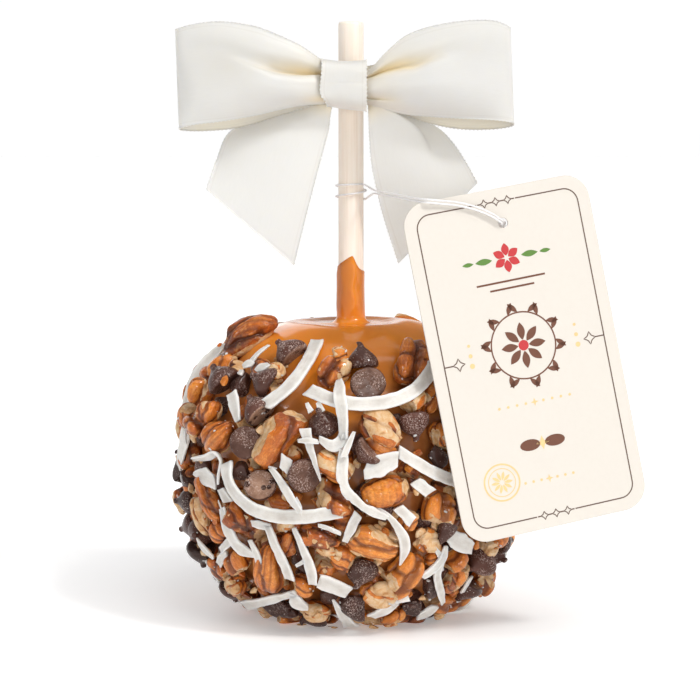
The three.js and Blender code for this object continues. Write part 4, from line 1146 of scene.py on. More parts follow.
# The other pieces that show from the front. Nuts: az, lat, h, spin, length, width, height, tone, broken ends, roll, style
NUTS = [
    (-84.0, 50.0, 3.0, 123, 6.6, 6, 5, 0.3, 3, 170, "f"),
    (-74.8, 16.7, 4.2, 86, 8.6, 6.5, 5.5, 0.35, 1, 0, "s"),
    (-56.7, 20.2, 4.2, 86, 7.7, 6.0, 5.5, 0.42, 1, 10, "s"),
    (-48.9, 13.0, 4.6, 45, 13.3, 8.0, 6.0, 0.32, 1, 0, "t"),
    (21.6, 25.4, 4.4, 24, 8.8, 5.5, 4.8, 0.25, 2, 150, "f"),
    (29.8, 26.5, 3.6, 60, 9.0, 5.0, 4.5, 0.25, 2, 20, "s"),
    (-53.1, -8.9, 4.8, -45, 13.3, 5.0, 4.5, 0.5, 0, 15, "t"),
    (-60.3, -15.7, 4.0, -79, 12.5, 5.5, 5.0, 0.3, 1, 160, "f"),
    (-49.2, -18.9, 4.6, -29, 6.9, 6.0, 5.0, 0.45, 1, 0, "s"),
    (-39.7, -13.3, 4.4, -50, 11.0, 6.8, 5.5, 0.78, 1, -45, "s"),
    (-43.5, -29.1, 4.6, -68, 7.5, 8.0, 6.0, 0.38, 1, 0, "g"),
    (-55.8, -40.9, 4.2, 31, 8.0, 6.0, 5.0, 0.2, 2, 170, "f"),
    (-52.7, -53.9, 3.6, 4, 5.2, 4.8, 4.2, 0.3, 2, 150, "f"),
    (-4.8, 6.2, 4.6, -43, 10.9, 7.0, 5.5, 0.25, 1, 150, "f"),
    (-5.7, -5.0, 4.2, -23, 11.8, 8.5, 6.0, 0.55, 1, -50, "g"),
    (-9.8, -17.1, 4.6, -6, 11.2, 6.0, 5.0, 0.66, 1, -35, "g"),
    (-7.6, -21.8, 4.4, -17, 7.0, 4.0, 3.5, 0.3, 2, 160, "f"),
    (29.5, -9.9, 4.2, 73, 10.8, 9.0, 6.5, 0.1, 1, 0, "g"),
    (19.1, -13.0, 4.2, 52, 7.2, 4.5, 4.5, 0.25, 2, -20, "s"),
    (30.7, 13.8, 3.6, -75, 8.4, 5.0, 4.5, 0.2, 2, 130, "s"),
    (-18.7, -35.5, 4.4, -33, 6.8, 5.2, 4.8, 0.3, 1, 0, "s"),
    (-9.4, -28.7, 4.2, 50, 6.8, 4.2, 4.0, 0.35, 2, 0, "s"),
    (-2.1, -25.7, 4.2, -29, 9.5, 5.8, 5.0, 0.35, 1, -10, "s"),
    (11.9, -38.4, 4.4, -45, 10.5, 8.0, 5.5, 0.2, 1, 165, "f"),
    (21.8, -53.2, 3.6, 73, 7.5, 5.0, 4.2, 0.15, 1, 0, "s"),
    (-15.5, -47.6, 3.8, -12, 7.8, 5.8, 4.8, 0.45, 1, 150, "f"),
    (44.4, -33.9, 4.2, -81, 9.3, 5.2, 4.8, 0.2, 1, 150, "f"),
    (41.0, -37.0, 4.0, -50, 7.0, 4.2, 4.2, 0.75, 1, 0, "s"),
    (71.2, -41.5, 4.8, 96, 7.8, 7.0, 6.0, 0.45, 2, -40, "g"),
    (56.8, -26.4, 4.4, -0, 8.1, 4.8, 4.5, 0.2, 2, 160, "f"),
    (26.3, -20.7, 4.2, -33, 8.4, 6.2, 5.0, 0.2, 1, 140, "s"),
    (29.2, -26.3, 4.4, 38, 4.5, 3.6, 3.6, 0.15, 1, 0, "s"),
    (-29.9, 34.4, 3.8, -27, 6.0, 5.0, 4.2, 0.2, 2, 150, "f"),
    (-81.9, 1.6, 3.4, -69, 8.2, 6.0, 5.0, 0.6, 1, 0, "s"),
    (-60.8, -35.8, 4.0, -24, 10.7, 6.0, 5.0, 0.62, 1, 0, "g"),
    (9.3, 13.8, 4.0, -28, 10.1, 6.5, 5.0, 0.22, 1, -20, "s"),
    (-5.0, 41.4, 4.6, 8, 5.4, 4.0, 3.6, 0.2, 2, 150, "f"),
    (-9.4, -17.4, 5.4, -8, 8.6, 5.0, 4.6, 0.72, [(-1, 0.1, 0.3, 0.8), (0, -0.6, 0.8, 0.75, 0.3)], 0, "p"),
    (-22.0, -22.4, 3.4, 70, 8.0, 4.8, 4.2, 0.6, 1, 0, "s"),
    (-21.5, -14.6, 3.2, 10, 6.4, 4.6, 4.0, 0.25, 2, 150, "f"),
]
CHIPS = [
    (-33.7, 22.7, 4.6, 142, 8, 7.8, 6.4, 1.0),
    (-35.7, 12.4, 4.8, 160, -50, 7.9, 6.0, 0.64),
    (-29.0, -2.1, 5.0, 240, -60, 7.6, 5.8, 1.0),
    (4.7, 9.9, 4.8, 225, -30, 7.4, 5.6, 0.7),
    (21.0, 17.9, 4.8, 272, 15, 7.4, 6.2, 0.6),
    (3.4, -30.3, 5.0, 245, 62, 7.8, 6.2, 0.45),
    (54.6, -32.0, 4.8, 205, 5, 7.8, 6.2, 0.7),
    (-72.3, -30.7, 5.0, 255, 15, 7.8, 6.2, 0.05),
    (-67.0, -45.4, 4.4, 250, 30, 6.8, 5.4, 0.05),
    (-74.7, -13.3, 4.6, 180, 60, 7.2, 5.6, 0.25),
    (-77.6, -22.7, 4.8, 200, 60, 7.8, 6.0, 0.15),
    (-80.2, 3.1, 4.2, 170, 60, 5.5, 4.2, 0.1),
    (73.1, -26.6, 4.8, 20, 40, 6.4, 4.8, 0.5),
]
CHOCS = [
    (2.8, -44.0, 4.4, -45, 9.5, 7.0, 5.0, 0.55),
    (32.8, -17.3, 4.8, -100, 10.2, 5.0, 3.6, 0.35),
    (-38.2, -49.0, 4.0, -5, 9.2, 5.5, 4.0, 0.2),
    (29.1, 8.1, 3.4, -59, 6.6, 4.5, 3.5, 0.3),
    (9.4, -9.0, 3.4, -22, 6.2, 5.0, 3.6, 0.3),
    (-18.1, -25.2, 3.4, -87, 9.3, 5.0, 4.0, 0.0),
    (-37.7, 1.5, 4.4, -78, 6.0, 4.0, 3.6, 0.1),
    (32.8, -38.3, 3.8, 100, 8.5, 4.4, 3.6, 0.2),
    (-74.2, -6.4, 3.8, -36, 7.7, 4.0, 3.6, 0.1),
    (-33.5, -51.0, 3.2, 20, 7.0, 4.5, 3.6, 0.0),
    (30.6, -48.4, 3.6, -43, 6.0, 4.5, 3.6, 0.3),
]
STRIPS = [
    ([[-80, 41.5, 4.4], [-78.5, 34.2, 4.8], [-79.5, 27.6, 5.0], [-80.5, 22.1, 4.9], [-81.0, 17.7, 4.6]], [2.6, 3.8, 4.0, 3.6, 2.4], -32, 0.9),
    ([[-46.6, 35.2, 4.6], [-44.4, 36.2, 4.8], [-42.0, 36.4, 4.6]], [1.3, 2.3, 1.2], 10, 0.8),
    ([[-47.8, 33.4, 4.4], [-45.2, 33.2, 4.6]], [1.2, 1.5], -10, 0.8),
    ([[-38.6, 34.2, 4.6], [-36.2, 35.6, 4.8], [-33.8, 36.9, 4.6]], [1.2, 2.4, 1.6], 0, 0.8),
    ([[-45.6, 37.4, 3.8], [-44.6, 40.0, 4.0], [-43.4, 42.6, 4.0], [-42.2, 45.2, 3.8]], [1.8, 1.5, 1.2, 0.7], 15, 0.7),
    ([[-43.8, 26.0, 6.2], [-40.8, 22.3, 6.2], [-38.3, 18.1, 6.2]], [2.9, 3.2, 1.8], 0, 0.9),
    ([[-4.1, 31.3, 6.6], [-3.4, 25.3, 8.8], [-2.4, 20.2, 7.6], [-2.1, 14.7, 7.0]], [1.4, 2.7, 3.0, 2.9, 2.7, 2.5, 2.2], [0, 0, 20, 35], 0.9),
    ([[-1.8, 17.5, 6.3], [-3.0, 13.9, 6.7], [-5.7, 12.4, 7.0], [-9.7, 14.3, 6.6]], [2.0, 2.8, 2.7, 1.4], 10, 0.9),
    ([[-14.2, 24.5, 6.6], [-12.6, 22.0, 6.6]], [0.9, 1.6], 0, 0.9),
    ([[-14.2, 17.2, 6.8], [-12.1, 11.7, 7.2], [-9.0, 1.6, 6.8]], [2.9, 2.3, 1.5, 0.5], 0, 0.8),
    ([[-15.7, 13.6, 7.8], [-12.6, 13.8, 8.2], [-9.6, 13.5, 7.8]], [0.9, 1.5, 1.0], 0, 0.7),
    ([[0.9, 16.4, 8.2], [-0.9, 12.4, 8.4], [-2.2, 9.2, 8.6]], [0.8, 1.6, 1.4], 0, 0.8),
    ([[-10.6, 24.8, 6.8], [-9.1, 22.0, 6.8]], [1.1, 1.8], 0, 0.9),
    ([[-70.9, 11.9, 5.2], [-72.0, 7.1, 5.2], [-77.2, 1.8, 5.2], [-81.6, -2.5, 5.2]], [2.8, 2.9, 2.6, 2.0], -30, 0.9),
    ([[-59.6, 3.9, 6.2], [-51.1, 5.7, 6.2], [-46.6, 7.5, 6.2], [-44.2, 5.3, 6.2], [-45.0, 1.5, 6.2], [-45.6, -2.7, 6.2]], [1.4, 2.0, 2.2, 2.2, 1.8, 1.0], 55, 0.8),
    ([[-60.5, -1.2, 5.6], [-53.3, -1.1, 5.6], [-47.9, -2.5, 5.6]], [0.8, 4.2, 3.2], 0, 0.8),
    ([[-45.4, -4.5, 5.4], [-42.0, -8.4, 5.4]], [2.5, 2.9], 0, 0.9),
    ([[-24.7, 4.9, 6.6], [-20.8, 0.8, 7.6], [-17.4, -3.6, 9.0], [-14.4, -7.9, 9.4]], [1.3, 1.7, 2.1, 1.5], 0, 0.8),
    ([[-21.6, 7.5, 6.2], [-18.4, 5.2, 6.2]], [3.0, 3.2], 0, 0.9),
    ([[-31.5, -13.5, 7.0], [-28.3, -13.8, 7.0], [-25.2, -14.2, 7.0]], [1.6, 1.9, 1.6], 0, 0.9),
    ([[-25.8, -13.8, 7.2], [-23.7, -20.3, 7.2], [-21.5, -26.3, 7.2], [-20.6, -30.6, 7.2]], [1.8, 2.1, 2.3, 2.6], 0, 0.9),
    ([[-43.4, -10.1, 6.8], [-41.7, -16.4, 6.8], [-38.3, -22.0, 6.8], [-31.6, -24.2, 6.8]], [2.3, 2.9, 3.3, 1.0], 0, 0.9),
    ([[-32.4, -18.7, 7.6], [-30.5, -23.9, 7.6], [-30.7, -30.5, 7.6]], [1.2, 1.7, 1.1], 0, 0.8),
    ([[-49.4, -25.2, 5.8], [-42.7, -20.9, 5.8]], [1.8, 2.1], 0, 0.8),
    ([[-54.2, -30.8, 5.8], [-46.9, -25.5, 5.8]], [2.2, 2.0], 0, 0.8),
    ([[-61.9, -23.8, 6.6], [-58.1, -25.8, 6.6], [-54.2, -27.8, 6.6]], [2.0, 2.7, 1.5], 0, 0.8),
    ([[-65.9, -31.9, 5.2], [-69.6, -37.8, 5.2], [-74.8, -44.2, 5.2]], [2.6, 3.0, 2.2], 0, 0.9),
    ([[-57.7, -48.1, 5.8], [-39.2, -43.2, 5.8], [-28.2, -39.6, 5.8], [-20.3, -37.1, 5.8]], [2.8, 2.4, 1.9, 1.8], 0, 0.9),
    ([[-23.5, -38.8, 6.0], [-20.6, -41.1, 6.0], [-17.3, -42.6, 6.0]], [3.2, 3.8, 1.6], 0, 0.9),
    ([[3.8, 3.6, 6.8], [8.0, 6.3, 6.8], [14.0, 8.3, 6.8]], [2.0, 5.2, 3.4], 0, 0.9),
    ([[14.5, 10.4, 6.4], [20.2, 6.7, 6.4], [26.7, 2.7, 6.0], [34.2, -0.5, 5.4]], [2.9, 2.9, 2.9, 2.9], 0, 1.0),
    ([[5.3, -5.9, 7.0], [11.0, -9.8, 7.0], [15.2, -15.4, 7.0], [16.8, -20.2, 7.0], [15.7, -25.7, 7.0]], [0.9, 1.3, 2.3, 2.6, 0.5], 0, 0.9),
    ([[2.1, -9.2, 6.4], [-0.0, -13.7, 6.4], [-1.9, -18.1, 6.4]], [2.3, 2.3, 1.4], 0, 0.8),
    ([[-9.8, -12.5, 7.4], [-6.2, -13.6, 7.4], [-3.0, -15.1, 7.4]], [0.8, 1.2, 0.9], 0, 0.8),
    ([[14.3, -7.4, 6.2], [18.9, -12.4, 6.2]], [2.6, 2.9], 0, 0.9),
    ([[19.8, 0.8, 5.8], [24.8, -3.6, 5.8]], [2.8, 3.1], 0, 0.9),
    ([[32.6, -17.9, 6.0], [37.5, -20.8, 6.0], [43.7, -23.6, 6.0]], [3.2, 4.6, 3.0], 0, 0.9),
    ([[-17.3, -13.8, 7.2], [-14.6, -20.9, 7.2], [-12.9, -27.0, 7.2], [-12.8, -31.8, 7.2]], [1.2, 1.9, 2.7, 2.0], 0, 0.9),
    ([[-14.3, -24.0, 7.0], [-17.8, -26.1, 7.0]], [1.2, 0.8], 0, 0.8),
    ([[-10.8, -30.9, 6.6], [-5.8, -32.9, 6.6], [-0.7, -35.0, 6.6]], [4.0, 4.1, 4.0], 0, 1.0),
    ([[13.9, -39.0, 6.2], [21.5, -38.0, 6.2]], [2.4, 2.8], 0, 0.9),
    ([[8.6, -46.8, 5.8], [13.2, -44.5, 5.8], [18.6, -41.2, 5.8]], [2.6, 3.0, 1.0], 0, 0.9),
    ([[-6.9, -39.5, 5.6], [-3.5, -46.8, 5.4], [0.6, -57.1, 4.6]], [0.6, 2.6, 4.0], 0, 0.8),
    ([[31.2, -20.9, 6.8], [30.6, -25.1, 6.8], [27.6, -28.5, 6.8], [24.4, -30.6, 6.8]], [1.0, 2.4, 2.1, 1.5], 0, 0.9),
    ([[30.8, -26.0, 6.4], [30.7, -31.2, 6.4], [34.4, -36.8, 6.4], [39.9, -43.0, 6.4]], [1.8, 2.0, 2.2, 1.3], 0, 0.9),
    ([[27.0, -20.9, 6.6], [30.2, -24.5, 6.6]], [0.8, 1.4], 0, 0.8),
    ([[33.8, -50.6, 5.2], [37.5, -48.9, 5.2], [39.6, -46.1, 5.2]], [2.2, 3.5, 2.0], 0, 0.9),
    ([[50.6, -41.1, 5.6], [50.1, -35.4, 5.6]], [1.4, 1.8], 0, 0.8),
]

spots = []          # middle and reach of each piece laid so far


def bare(az, lat, margin=0.0):
    """Whether a spot is on the bare caramel at the front, above the coated edge."""
    return (-25 - margin < az < -8 and lat > 20 - margin) or (-8 <= az < 36 + margin and lat > 27 - margin)



def note(V, scale=0.5):
    c = V.mean(0)
    spots.append((c, float(np.linalg.norm(V - c, axis=1).max()) * scale))


def free(p, r):
    if not spots:
        return True
    C = np.array([q for q, _ in spots])
    R = np.array([s for _, s in spots])
    return bool((np.linalg.norm(C - p, axis=1) > (R + r)).all())


def single(name, made, mat, slot_, node):
    V, F, attrs = made
    n = len(V)
    at = {k: (np.full(n, float(a)) if np.ndim(a) == 0 else np.asarray(a)) for k, a in attrs.items()}
    ob = mesh_object(name, V, F, at, mat=mat, slot=slot_)
    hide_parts(node)


def lay_front():
    for i, (node, q) in enumerate(PECAN_NODES.items()):
        az, lat, h, spin, L, W, H, tone, cuts, roll, style = q
        m = make_pecan(np.random.RandomState(300 + i), az, lat, h, spin, L, W, H, tone, cuts, 0, roll, 18, style)
        note(m[0], 0.62)
        single(node + "_fine", m, MAT["pecan"], "pecan", node)
    for i, (node, q) in enumerate(CHIP_NODES.items()):
        az, lat, h, dr, el_, D, H, bloom = q
        m = make_chip(np.random.RandomState(340 + i), az, lat, h, dr, el_, D, H, bloom, 0.5)
        note(m[0], 0.85)
        single(node + "_fine", m, MAT["chocolate"], "chocolate", node)
    for i, (node, q) in enumerate(STRIP_NODES.items()):
        line, w, th, cut = q
        m = make_strip(np.random.RandomState(370 + i), line, w, th, 0, 64, 1.2 if node == "coconut_wave_front" else 0.5, cut)
        single(node + "_fine", m, MAT["coconut"], "coconut", node)
    for i, q in enumerate(NUTS):
        az, lat, h, spin, L, W, H, tone, cuts, roll, style = q
        V, F, at = make_pecan(np.random.RandomState(400 + i), az, lat, h, spin, L, W, H, tone, cuts, 0, roll, 12, style)
        note(V, 0.66)
        B["pecans_large"].add(V, F, **at)
    for i, q in enumerate(CHIPS):
        az, lat, h, dr, el_, D, H, bloom = q
        V, F, at = make_chip(np.random.RandomState(500 + i), az, lat, h, dr, el_, D, H, bloom, np.random.RandomState(i).rand())
        note(V, 0.8)
        B["chips"].add(V, F, **at)
    for i, q in enumerate(CHOCS):
        az, lat, h, spin, L, W, H, bloom = q
        V, F, at = make_choc(np.random.RandomState(540 + i), az, lat, h, spin, L, W, H, 0, bloom, np.random.RandomState(i + 9).rand())
        note(V, 0.66)
        B["chocolate_bits"].add(V, F, **at)
    for line in [q[0] for q in STRIPS] + [q[0] for q in STRIP_NODES.values()]:
        for az, lat, h in catmull(np.array(line, float) if len(line) > 2 else np.array([line[0], np.mean(line, 0), line[1]]), 2 * len(line)):
            spots.append((place(az, lat, 5.0)[0], 1.3))
    for i, (line, w, roll, th) in enumerate(STRIPS):
        rs = np.random.RandomState(600 + i)
        V, F, at = make_strip(rs, line, w, th * 0.9, roll, 28, 0.75)
        B["coconut"].add(V, F, **at)
        if len(line) > 3:
            fray(rs, line, w, rs.choice([0, 1, 2], p=[0.50, 0.38, 0.12]))
    spots.append((place(-86, 12, 5.0)[0], 6.0))


def scatter():
    rs = np.random.RandomState(905)

    def put(kind, made, limit=0.6):
        if past_card(made[0]) > -0.05:
            return False
        B[kind].add(made[0], made[1], **made[2])
        return True

    # a bed of small pieces all over the coated skin; its nuts get darker tones than those on top, a painted shade of
    # the deep layer
    n = 330
    for i in range(n):
        s = mixn(math.sin(rad(-66)), math.sin(rad(54)), (i + 0.5) / n)
        lat = deg(math.asin(s)) + rs.uniform(-2.5, 2.5)
        az = (i * 137.508 + rs.uniform(-6, 6)) % 360 - 180
        q = rs.rand(8)
        if lat > float(rim_lat(az)) - 3.5 or bare(az, lat, 3):
            continue
        L, W, H = 6.5 + 4 * q[0], 5 + 2.6 * q[1], 3.8 + 1.4 * q[2]
        h = 1.0 + 1.0 * q[3]
        if q[4] < 0.55:
            m = make_pecan(rs, az, lat, h, q[5] * 180, L, W, H, 0.35 + 0.55 * rs.rand(), 2 + int(q[6] < 0.5), rs.uniform(-18, 18), rs.uniform(-50, 50), 5, rs.choice(["s", "g", "f"]))
            B["pecan_bed"].add(m[0], m[1], **m[2])
        elif q[4] < 0.80:
            m = make_choc(rs, az, lat, h, q[5] * 180, L * 0.8, W * 0.8, H, rs.uniform(-18, 18), q[7] * 0.6, rs.rand(), 5)
            B["chocolate_bits"].add(m[0], m[1], **m[2])
    # the pieces that show, away from the listed ones
    spots.append((place(-58, 41, 4.0)[0], 4.5))
    placed, tries = {"pecan": 0, "chip": 0, "choc": 0}, 0
    want = {"pecan": 108, "chip": 40, "choc": 20}
    while tries < 7000 and any(placed[k] < want[k] for k in want):
        tries += 1
        s = rs.uniform(math.sin(rad(-68)), math.sin(rad(53)))
        lat, az = deg(math.asin(s)), rs.uniform(-180, 180)
        edge = float(rim_lat(az)) + rs.uniform(-2, 2.5)
        kind = rs.choice(["pecan", "chip", "choc"], p=[0.62, 0.25, 0.13])
        if lat > edge or placed[kind] >= want[kind] or bare(az, lat, 4):
            continue
        size = rs.uniform(10.0, 16.0) if kind == "pecan" else 8.0 if kind == "chip" else rs.uniform(6, 9)
        if tries > 2500:
            size = min(size, rs.uniform(7.5, 10.5))
        reach = size * 0.37
        p = place(az, lat, 4.2)[0]
        if not free(p, reach):
            continue
        h = rs.uniform(3.6, 4.8) if lat < edge - 6 else rs.uniform(2.4, 3.4)
        if -115 < az < -62 and lat > 28:
            h = rs.uniform(1.8, 2.6)
        if lat < -50:
            h = min(h, 3.0)
        if kind == "pecan":
            style = rs.choice(["s", "g", "t", "x", "p", "f"], p=[0.20, 0.32, 0.10, 0.07, 0.07, 0.24])
            roll = rs.normal(0, 28) + (162 if style == "f" else 0)
            m = make_pecan(rs, az, lat, h, rs.uniform(0, 180), size, size * rs.uniform(0.50, 0.66), rs.uniform(5.2, 6.8), rs.beta(1.4, 1.9),
                           rs.choice([0, 1, 1, 2]), rs.uniform(-16, 16), roll, 9, style)
            name = "pecans_mid"
        elif kind == "chip":
            el_ = rs.choice([rs.uniform(20, 80), rs.uniform(-75, -30), rs.uniform(-20, 20)], p=[0.5, 0.28, 0.22])
            m = make_chip(rs, az, lat, h, rs.uniform(0, 360), el_, rs.uniform(7.4, 8.2), rs.uniform(5.6, 6.4), rs.choice([0.1, 0.35, 0.7, 1.0]), rs.rand())
            name = "chips"
        else:
            m = make_choc(rs, az, lat, h, rs.uniform(0, 180), size, size * 0.7, rs.uniform(3.6, 5.0), rs.uniform(-20, 20), rs.rand() * 0.6, rs.rand())
            name = "chocolate_bits"
        if put(name, m):
            spots.append((p, reach))
            placed[kind] += 1
    print("placed", placed, tries)
    # coconut over them
    hand = np.array([place(l[:, 0], l[:, 1], l[:, 2])[0].mean(0) for l in [np.array(q[0], float) for q in STRIPS]])
    laid = 0
    for i in range(400):
        s = rs.uniform(math.sin(rad(-62)), math.sin(rad(50)))
        lat, az = deg(math.asin(s)), rs.uniform(-180, 180)
        length = rs.choice([rs.uniform(4, 8), rs.uniform(8, 14), rs.uniform(15, 26)], p=[0.38, 0.40, 0.22])
        w = rs.uniform(1.2, 3.4)
        spin, bend, h, r0, r1 = rs.uniform(0, 360), rs.normal(0, 60), rs.uniform(5.0, 7.0), rs.normal(0, 16), rs.normal(0, 14)
        if lat > float(rim_lat(az)) + 1 or laid >= 84 or bare(az, lat, 2):
            continue
        if -84 < az < 50 or (50 <= az < 75 and lat < -20):
            if np.linalg.norm(hand - place(az, lat, 6.0)[0], axis=1).min() < 9.0 or rs.rand() < 0.6:
                continue
            length = min(length, 8)
        line = arc_line(rs, az, lat, h, spin, length, bend, rs.uniform(-0.8, 0.3))
        line[:, 1] = np.minimum(line[:, 1], rim_lat(line[:, 0]) + 1)
        line[:, 2] -= 3.2 * smooth(line[:, 1], 26, 44)
        if -125 < az < -72:
            line[:, 2] -= 1.8
            r0, r1 = r0 * 0.3, 0.0
        widths = [w, w * rs.uniform(0.9, 1.15), w * rs.uniform(0.8, 1.1)] if rs.rand() < 0.6 else [w * 0.3, w, w * rs.uniform(0.4, 1.2)]
        m = make_strip(rs, line, widths, rs.uniform(0.75, 1.0), [r0, r0 + r1], 20, 0.7)
        if put("coconut", m):
            laid += 1
            if rs.rand() < 0.5:
                fray(rs, line, widths, 1)
    print("coconut", laid)
    # crumbs between
    over = np.concatenate([place(l[:, 0], l[:, 1], l[:, 2])[0] for l in [catmull(np.array(q[0], float), 9) for q in STRIPS + list(STRIP_NODES.values()) if len(q[0]) > 2]])
    for i in range(440):
        s = rs.uniform(math.sin(rad(-66)), math.sin(rad(54)))
        lat, az = deg(math.asin(s)), rs.uniform(-180, 180)
        L, q = rs.uniform(1.4, 3.8), rs.rand(4)
        if lat > float(rim_lat(az)) + 1.5 or bare(az, lat):
            continue
        h = 3.2 + 2.6 * q[0] if lat < float(rim_lat(az)) - 3 else 0.8
        if np.linalg.norm(over - place(az, lat, h)[0], axis=1).min() < 2.4:
            continue
        P, F = shard(rs, L, L * (0.55 + 0.35 * q[1]), L * (0.35 + 0.35 * q[2]), 3, 8)
        put("nut_crumbs", (lay(P, az, lat, h, rs.uniform(0, 360), rs.uniform(-40, 40), 0), [F],
                           dict(skin=np.full(len(P), float(q[3] < 0.40)), furrow=np.zeros(len(P)), tone=rs.rand(), rnd=rs.rand(), loc=loc_of(P, rs))))


def dust():
    """Fine crumbs of coconut caught on the pieces."""
    rs = np.random.RandomState(77)
    tops = np.concatenate([v for k in ("pecans_large", "pecans_mid", "chips", "chocolate_bits") for v in B[k].V])
    d, F, _ = ICO[1]
    for i in range(560):
        p = tops[rs.randint(len(tops))]
        r = math.hypot(p[0], p[1])
        lat = deg(math.atan2(p[2] - WIDEST_Z, max(r, 1e-3)))
        if p[2] < 2 or r < float(skin(lat)[0]) + 3.2 * math.cos(rad(lat)):
            continue
        L = rs.uniform(0.25, 0.60)
        V = d * [L, L * rs.uniform(0.4, 0.9), L * rs.uniform(0.3, 0.6)]
        q = rs.normal(size=3)
        q /= np.linalg.norm(q)
        a = np.cross(q, [0.2, 0.5, 0.8])
        a /= np.linalg.norm(a)
        V = p + V[:, :1] * q + V[:, 1:2] * a + V[:, 2:] * np.cross(q, a)
        if past_card(V) < -0.1:
            B["coconut"].add(V, [F], loc=V * 3, side=np.full(len(V), 0.6))


lay_front()
scatter()
dust()

for name, part in B.items():
    print("toppings", name, part.tris)
pieces = {k: B[k].build({"chips": "chocolate_chips", "coconut": "coconut_shavings"}.get(k, k),
                        mat=MAT["chocolate" if k in ("chips", "chocolate_bits") else "coconut" if k == "coconut" else "pecan"],
                        slot="chocolate" if k in ("chips", "chocolate_bits") else "coconut" if k == "coconut" else "pecan",
                        smooth_shade=k != "nut_crumbs") for k in KINDS}
for k in ("pecans_large", "pecans_mid", "pecan_bed"):
    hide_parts("topping_coat")

# ------------------------------------------------------------------ stick
def build_stick():
    seg = 64
    bottom = STICK_TOP - STICK_LEN
    zs = np.concatenate([[0.0, 0.25], np.linspace(0.6, STICK_LEN - 0.8, 120), [STICK_LEN - 0.45, STICK_LEN - 0.18, STICK_LEN]])
    rs_ = np.concatenate([[STICK_R - 0.45, STICK_R - 0.12], np.full(120, STICK_R), [STICK_R - 0.05, STICK_R - 0.16, STICK_R - 0.42]])
    a = np.arange(seg) / seg * 2 * math.pi
    R, A = np.meshgrid(rs_, a, indexing="ij")
    Z = np.repeat((zs + bottom)[:, None], seg, 1)
    P = np.stack([R * np.sin(A), -R * np.cos(A), Z], -1)
    q = P.reshape(-1, 3) * [1.6, 1.6, 0.05]
    P += np.stack([np.sin(A), -np.cos(A), 0 * A], -1) * (0.035 * fbm(q, 2)).reshape(Z.shape)[..., None]
    rings = [P.reshape(-1, 3)]
    # end grain: rings in to the middle, slightly rough
    for f in (0.7, 0.4, 0.15):
        rings.append(np.stack([(STICK_R - 0.42) * f * np.sin(a), -(STICK_R - 0.42) * f * np.cos(a), np.full(seg, STICK_TOP + 0.03)], -1))
    low = [np.stack([(STICK_R - 0.45) * f * np.sin(a), -(STICK_R - 0.45) * f * np.cos(a), np.full(seg, bottom)], -1) for f in (0.15, 0.6)]
    V = np.concatenate(low + rings)
    m = len(V) // seg
    V = np.concatenate([V, [[0, 0, bottom], [0, 0, STICK_TOP + 0.03]]])
    F4 = grid_faces(m, seg, wrap_v=True)
    k = np.arange(seg)
    F3 = np.concatenate([np.stack([k, (k + 1) % seg, np.full(seg, m * seg)], 1)[:, ::-1],
                         np.stack([(m - 1) * seg + k, (m - 1) * seg + (k + 1) % seg, np.full(seg, m * seg + 1)], 1)])
    return V, [F4, F3]


V, F = build_stick()
stick = mesh_object("stick_dowel", V, F, mat=MAT["wood"], slot="stick_wood")
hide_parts("stick")

# ------------------------------------------------------------------ ribbon
picots = Batch()
DOT_V, DOT_F, _ = icosphere(2)


def picot_row(line, spacing=0.98, r=0.21):
    """A row of tiny thread loops along a woven edge."""
    s = np.concatenate([[0], np.cumsum(np.linalg.norm(np.diff(line, axis=0), axis=1))])
    for t in np.arange(spacing / 2, s[-1], spacing):
        p = np.array([np.interp(t, s, line[:, k]) for k in range(3)])
        picots.add(DOT_V * [r, r * 0.85, r] + p, [DOT_F])


def ribbon(name, sections, nu, nv, node, tint_and_fold_shade=None, dots=(True, True), thick=0.32):
    """A ribbon lofted through sections: rows along it, columns across it."""
    S = np.asarray(sections, float)
    P = catmull(S, nu)
    P = np.moveaxis(catmull(np.moveaxis(P, 1, 0), nv), 0, 1)
    V, F = sheet_mesh(P, thick)
    across = np.repeat(np.linspace(0, 25.4, nv)[None], nu, 0)
    mid = P[:, nv // 2]
    s = np.concatenate([[0], np.cumsum(np.linalg.norm(np.diff(mid, axis=0), axis=1))])
    along = np.repeat(s[:, None], nv, 1)
    loc = np.stack([across, along, 0 * across], -1).reshape(-1, 3)
    w = np.zeros((nu, nv)) if tint_and_fold_shade is None else tint_and_fold_shade(P, np.linspace(0, 1, nu)[:, None], np.linspace(0, 1, nv)[None])
    w = np.clip(w, 0, 1).reshape(-1)
    # the dull side of each swell, turned from the light
    dusk = 0.62 * np.exp(-((P[..., 0] + 30.0) / 9.5) ** 2 - ((P[..., 2] - 138.0) / 6.5) ** 2)
    dusk = dusk + 0.30 * np.exp(-((P[..., 0] - 29.5) / 9.0) ** 2 - ((P[..., 2] - 142.0) / 4.0) ** 2)
    dusk = (dusk * (np.linspace(0, 1, nu)[:, None] < 0.5) * ("loop" in node)).reshape(-1)
    ob = mesh_object(name, V, [F], {"loc": np.concatenate([loc, loc]), "tint_and_fold_shade": np.concatenate([w, w]), "dusk": np.concatenate([dusk, dusk])},
                     mat=MAT["satin"], slot="satin_ribbon")
    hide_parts(node)
    if dots[0]:
        picot_row(P[:, 0])
    if dots[1]:
        picot_row(P[:, -1])
    du, dv = np.linalg.norm(np.diff(P, axis=0), axis=2), np.linalg.norm(np.diff(P, axis=1), axis=2)
    print(name, "length %.1f" % s[-1], "mean width %.1f" % dv.sum(1).mean())
    return ob


def section(x, z, y, dx=None):
    """One section across a loop, bottom edge first."""
    x = np.full(len(z), float(x)) + (0 if dx is None else np.asarray(dx, float))
    return np.stack([x, np.asarray(y, float), np.asarray(z, float)], 1)


def straight(x, z0, z1, y0, y1, bow=0.0, dx=(0, 0)):
    t = np.linspace(0, 1, 9)
    return section(x, mixn(z0, z1, t), mixn(y0, y1, t) - bow * np.sin(np.pi * t), mixn(dx[0], dx[1], t))


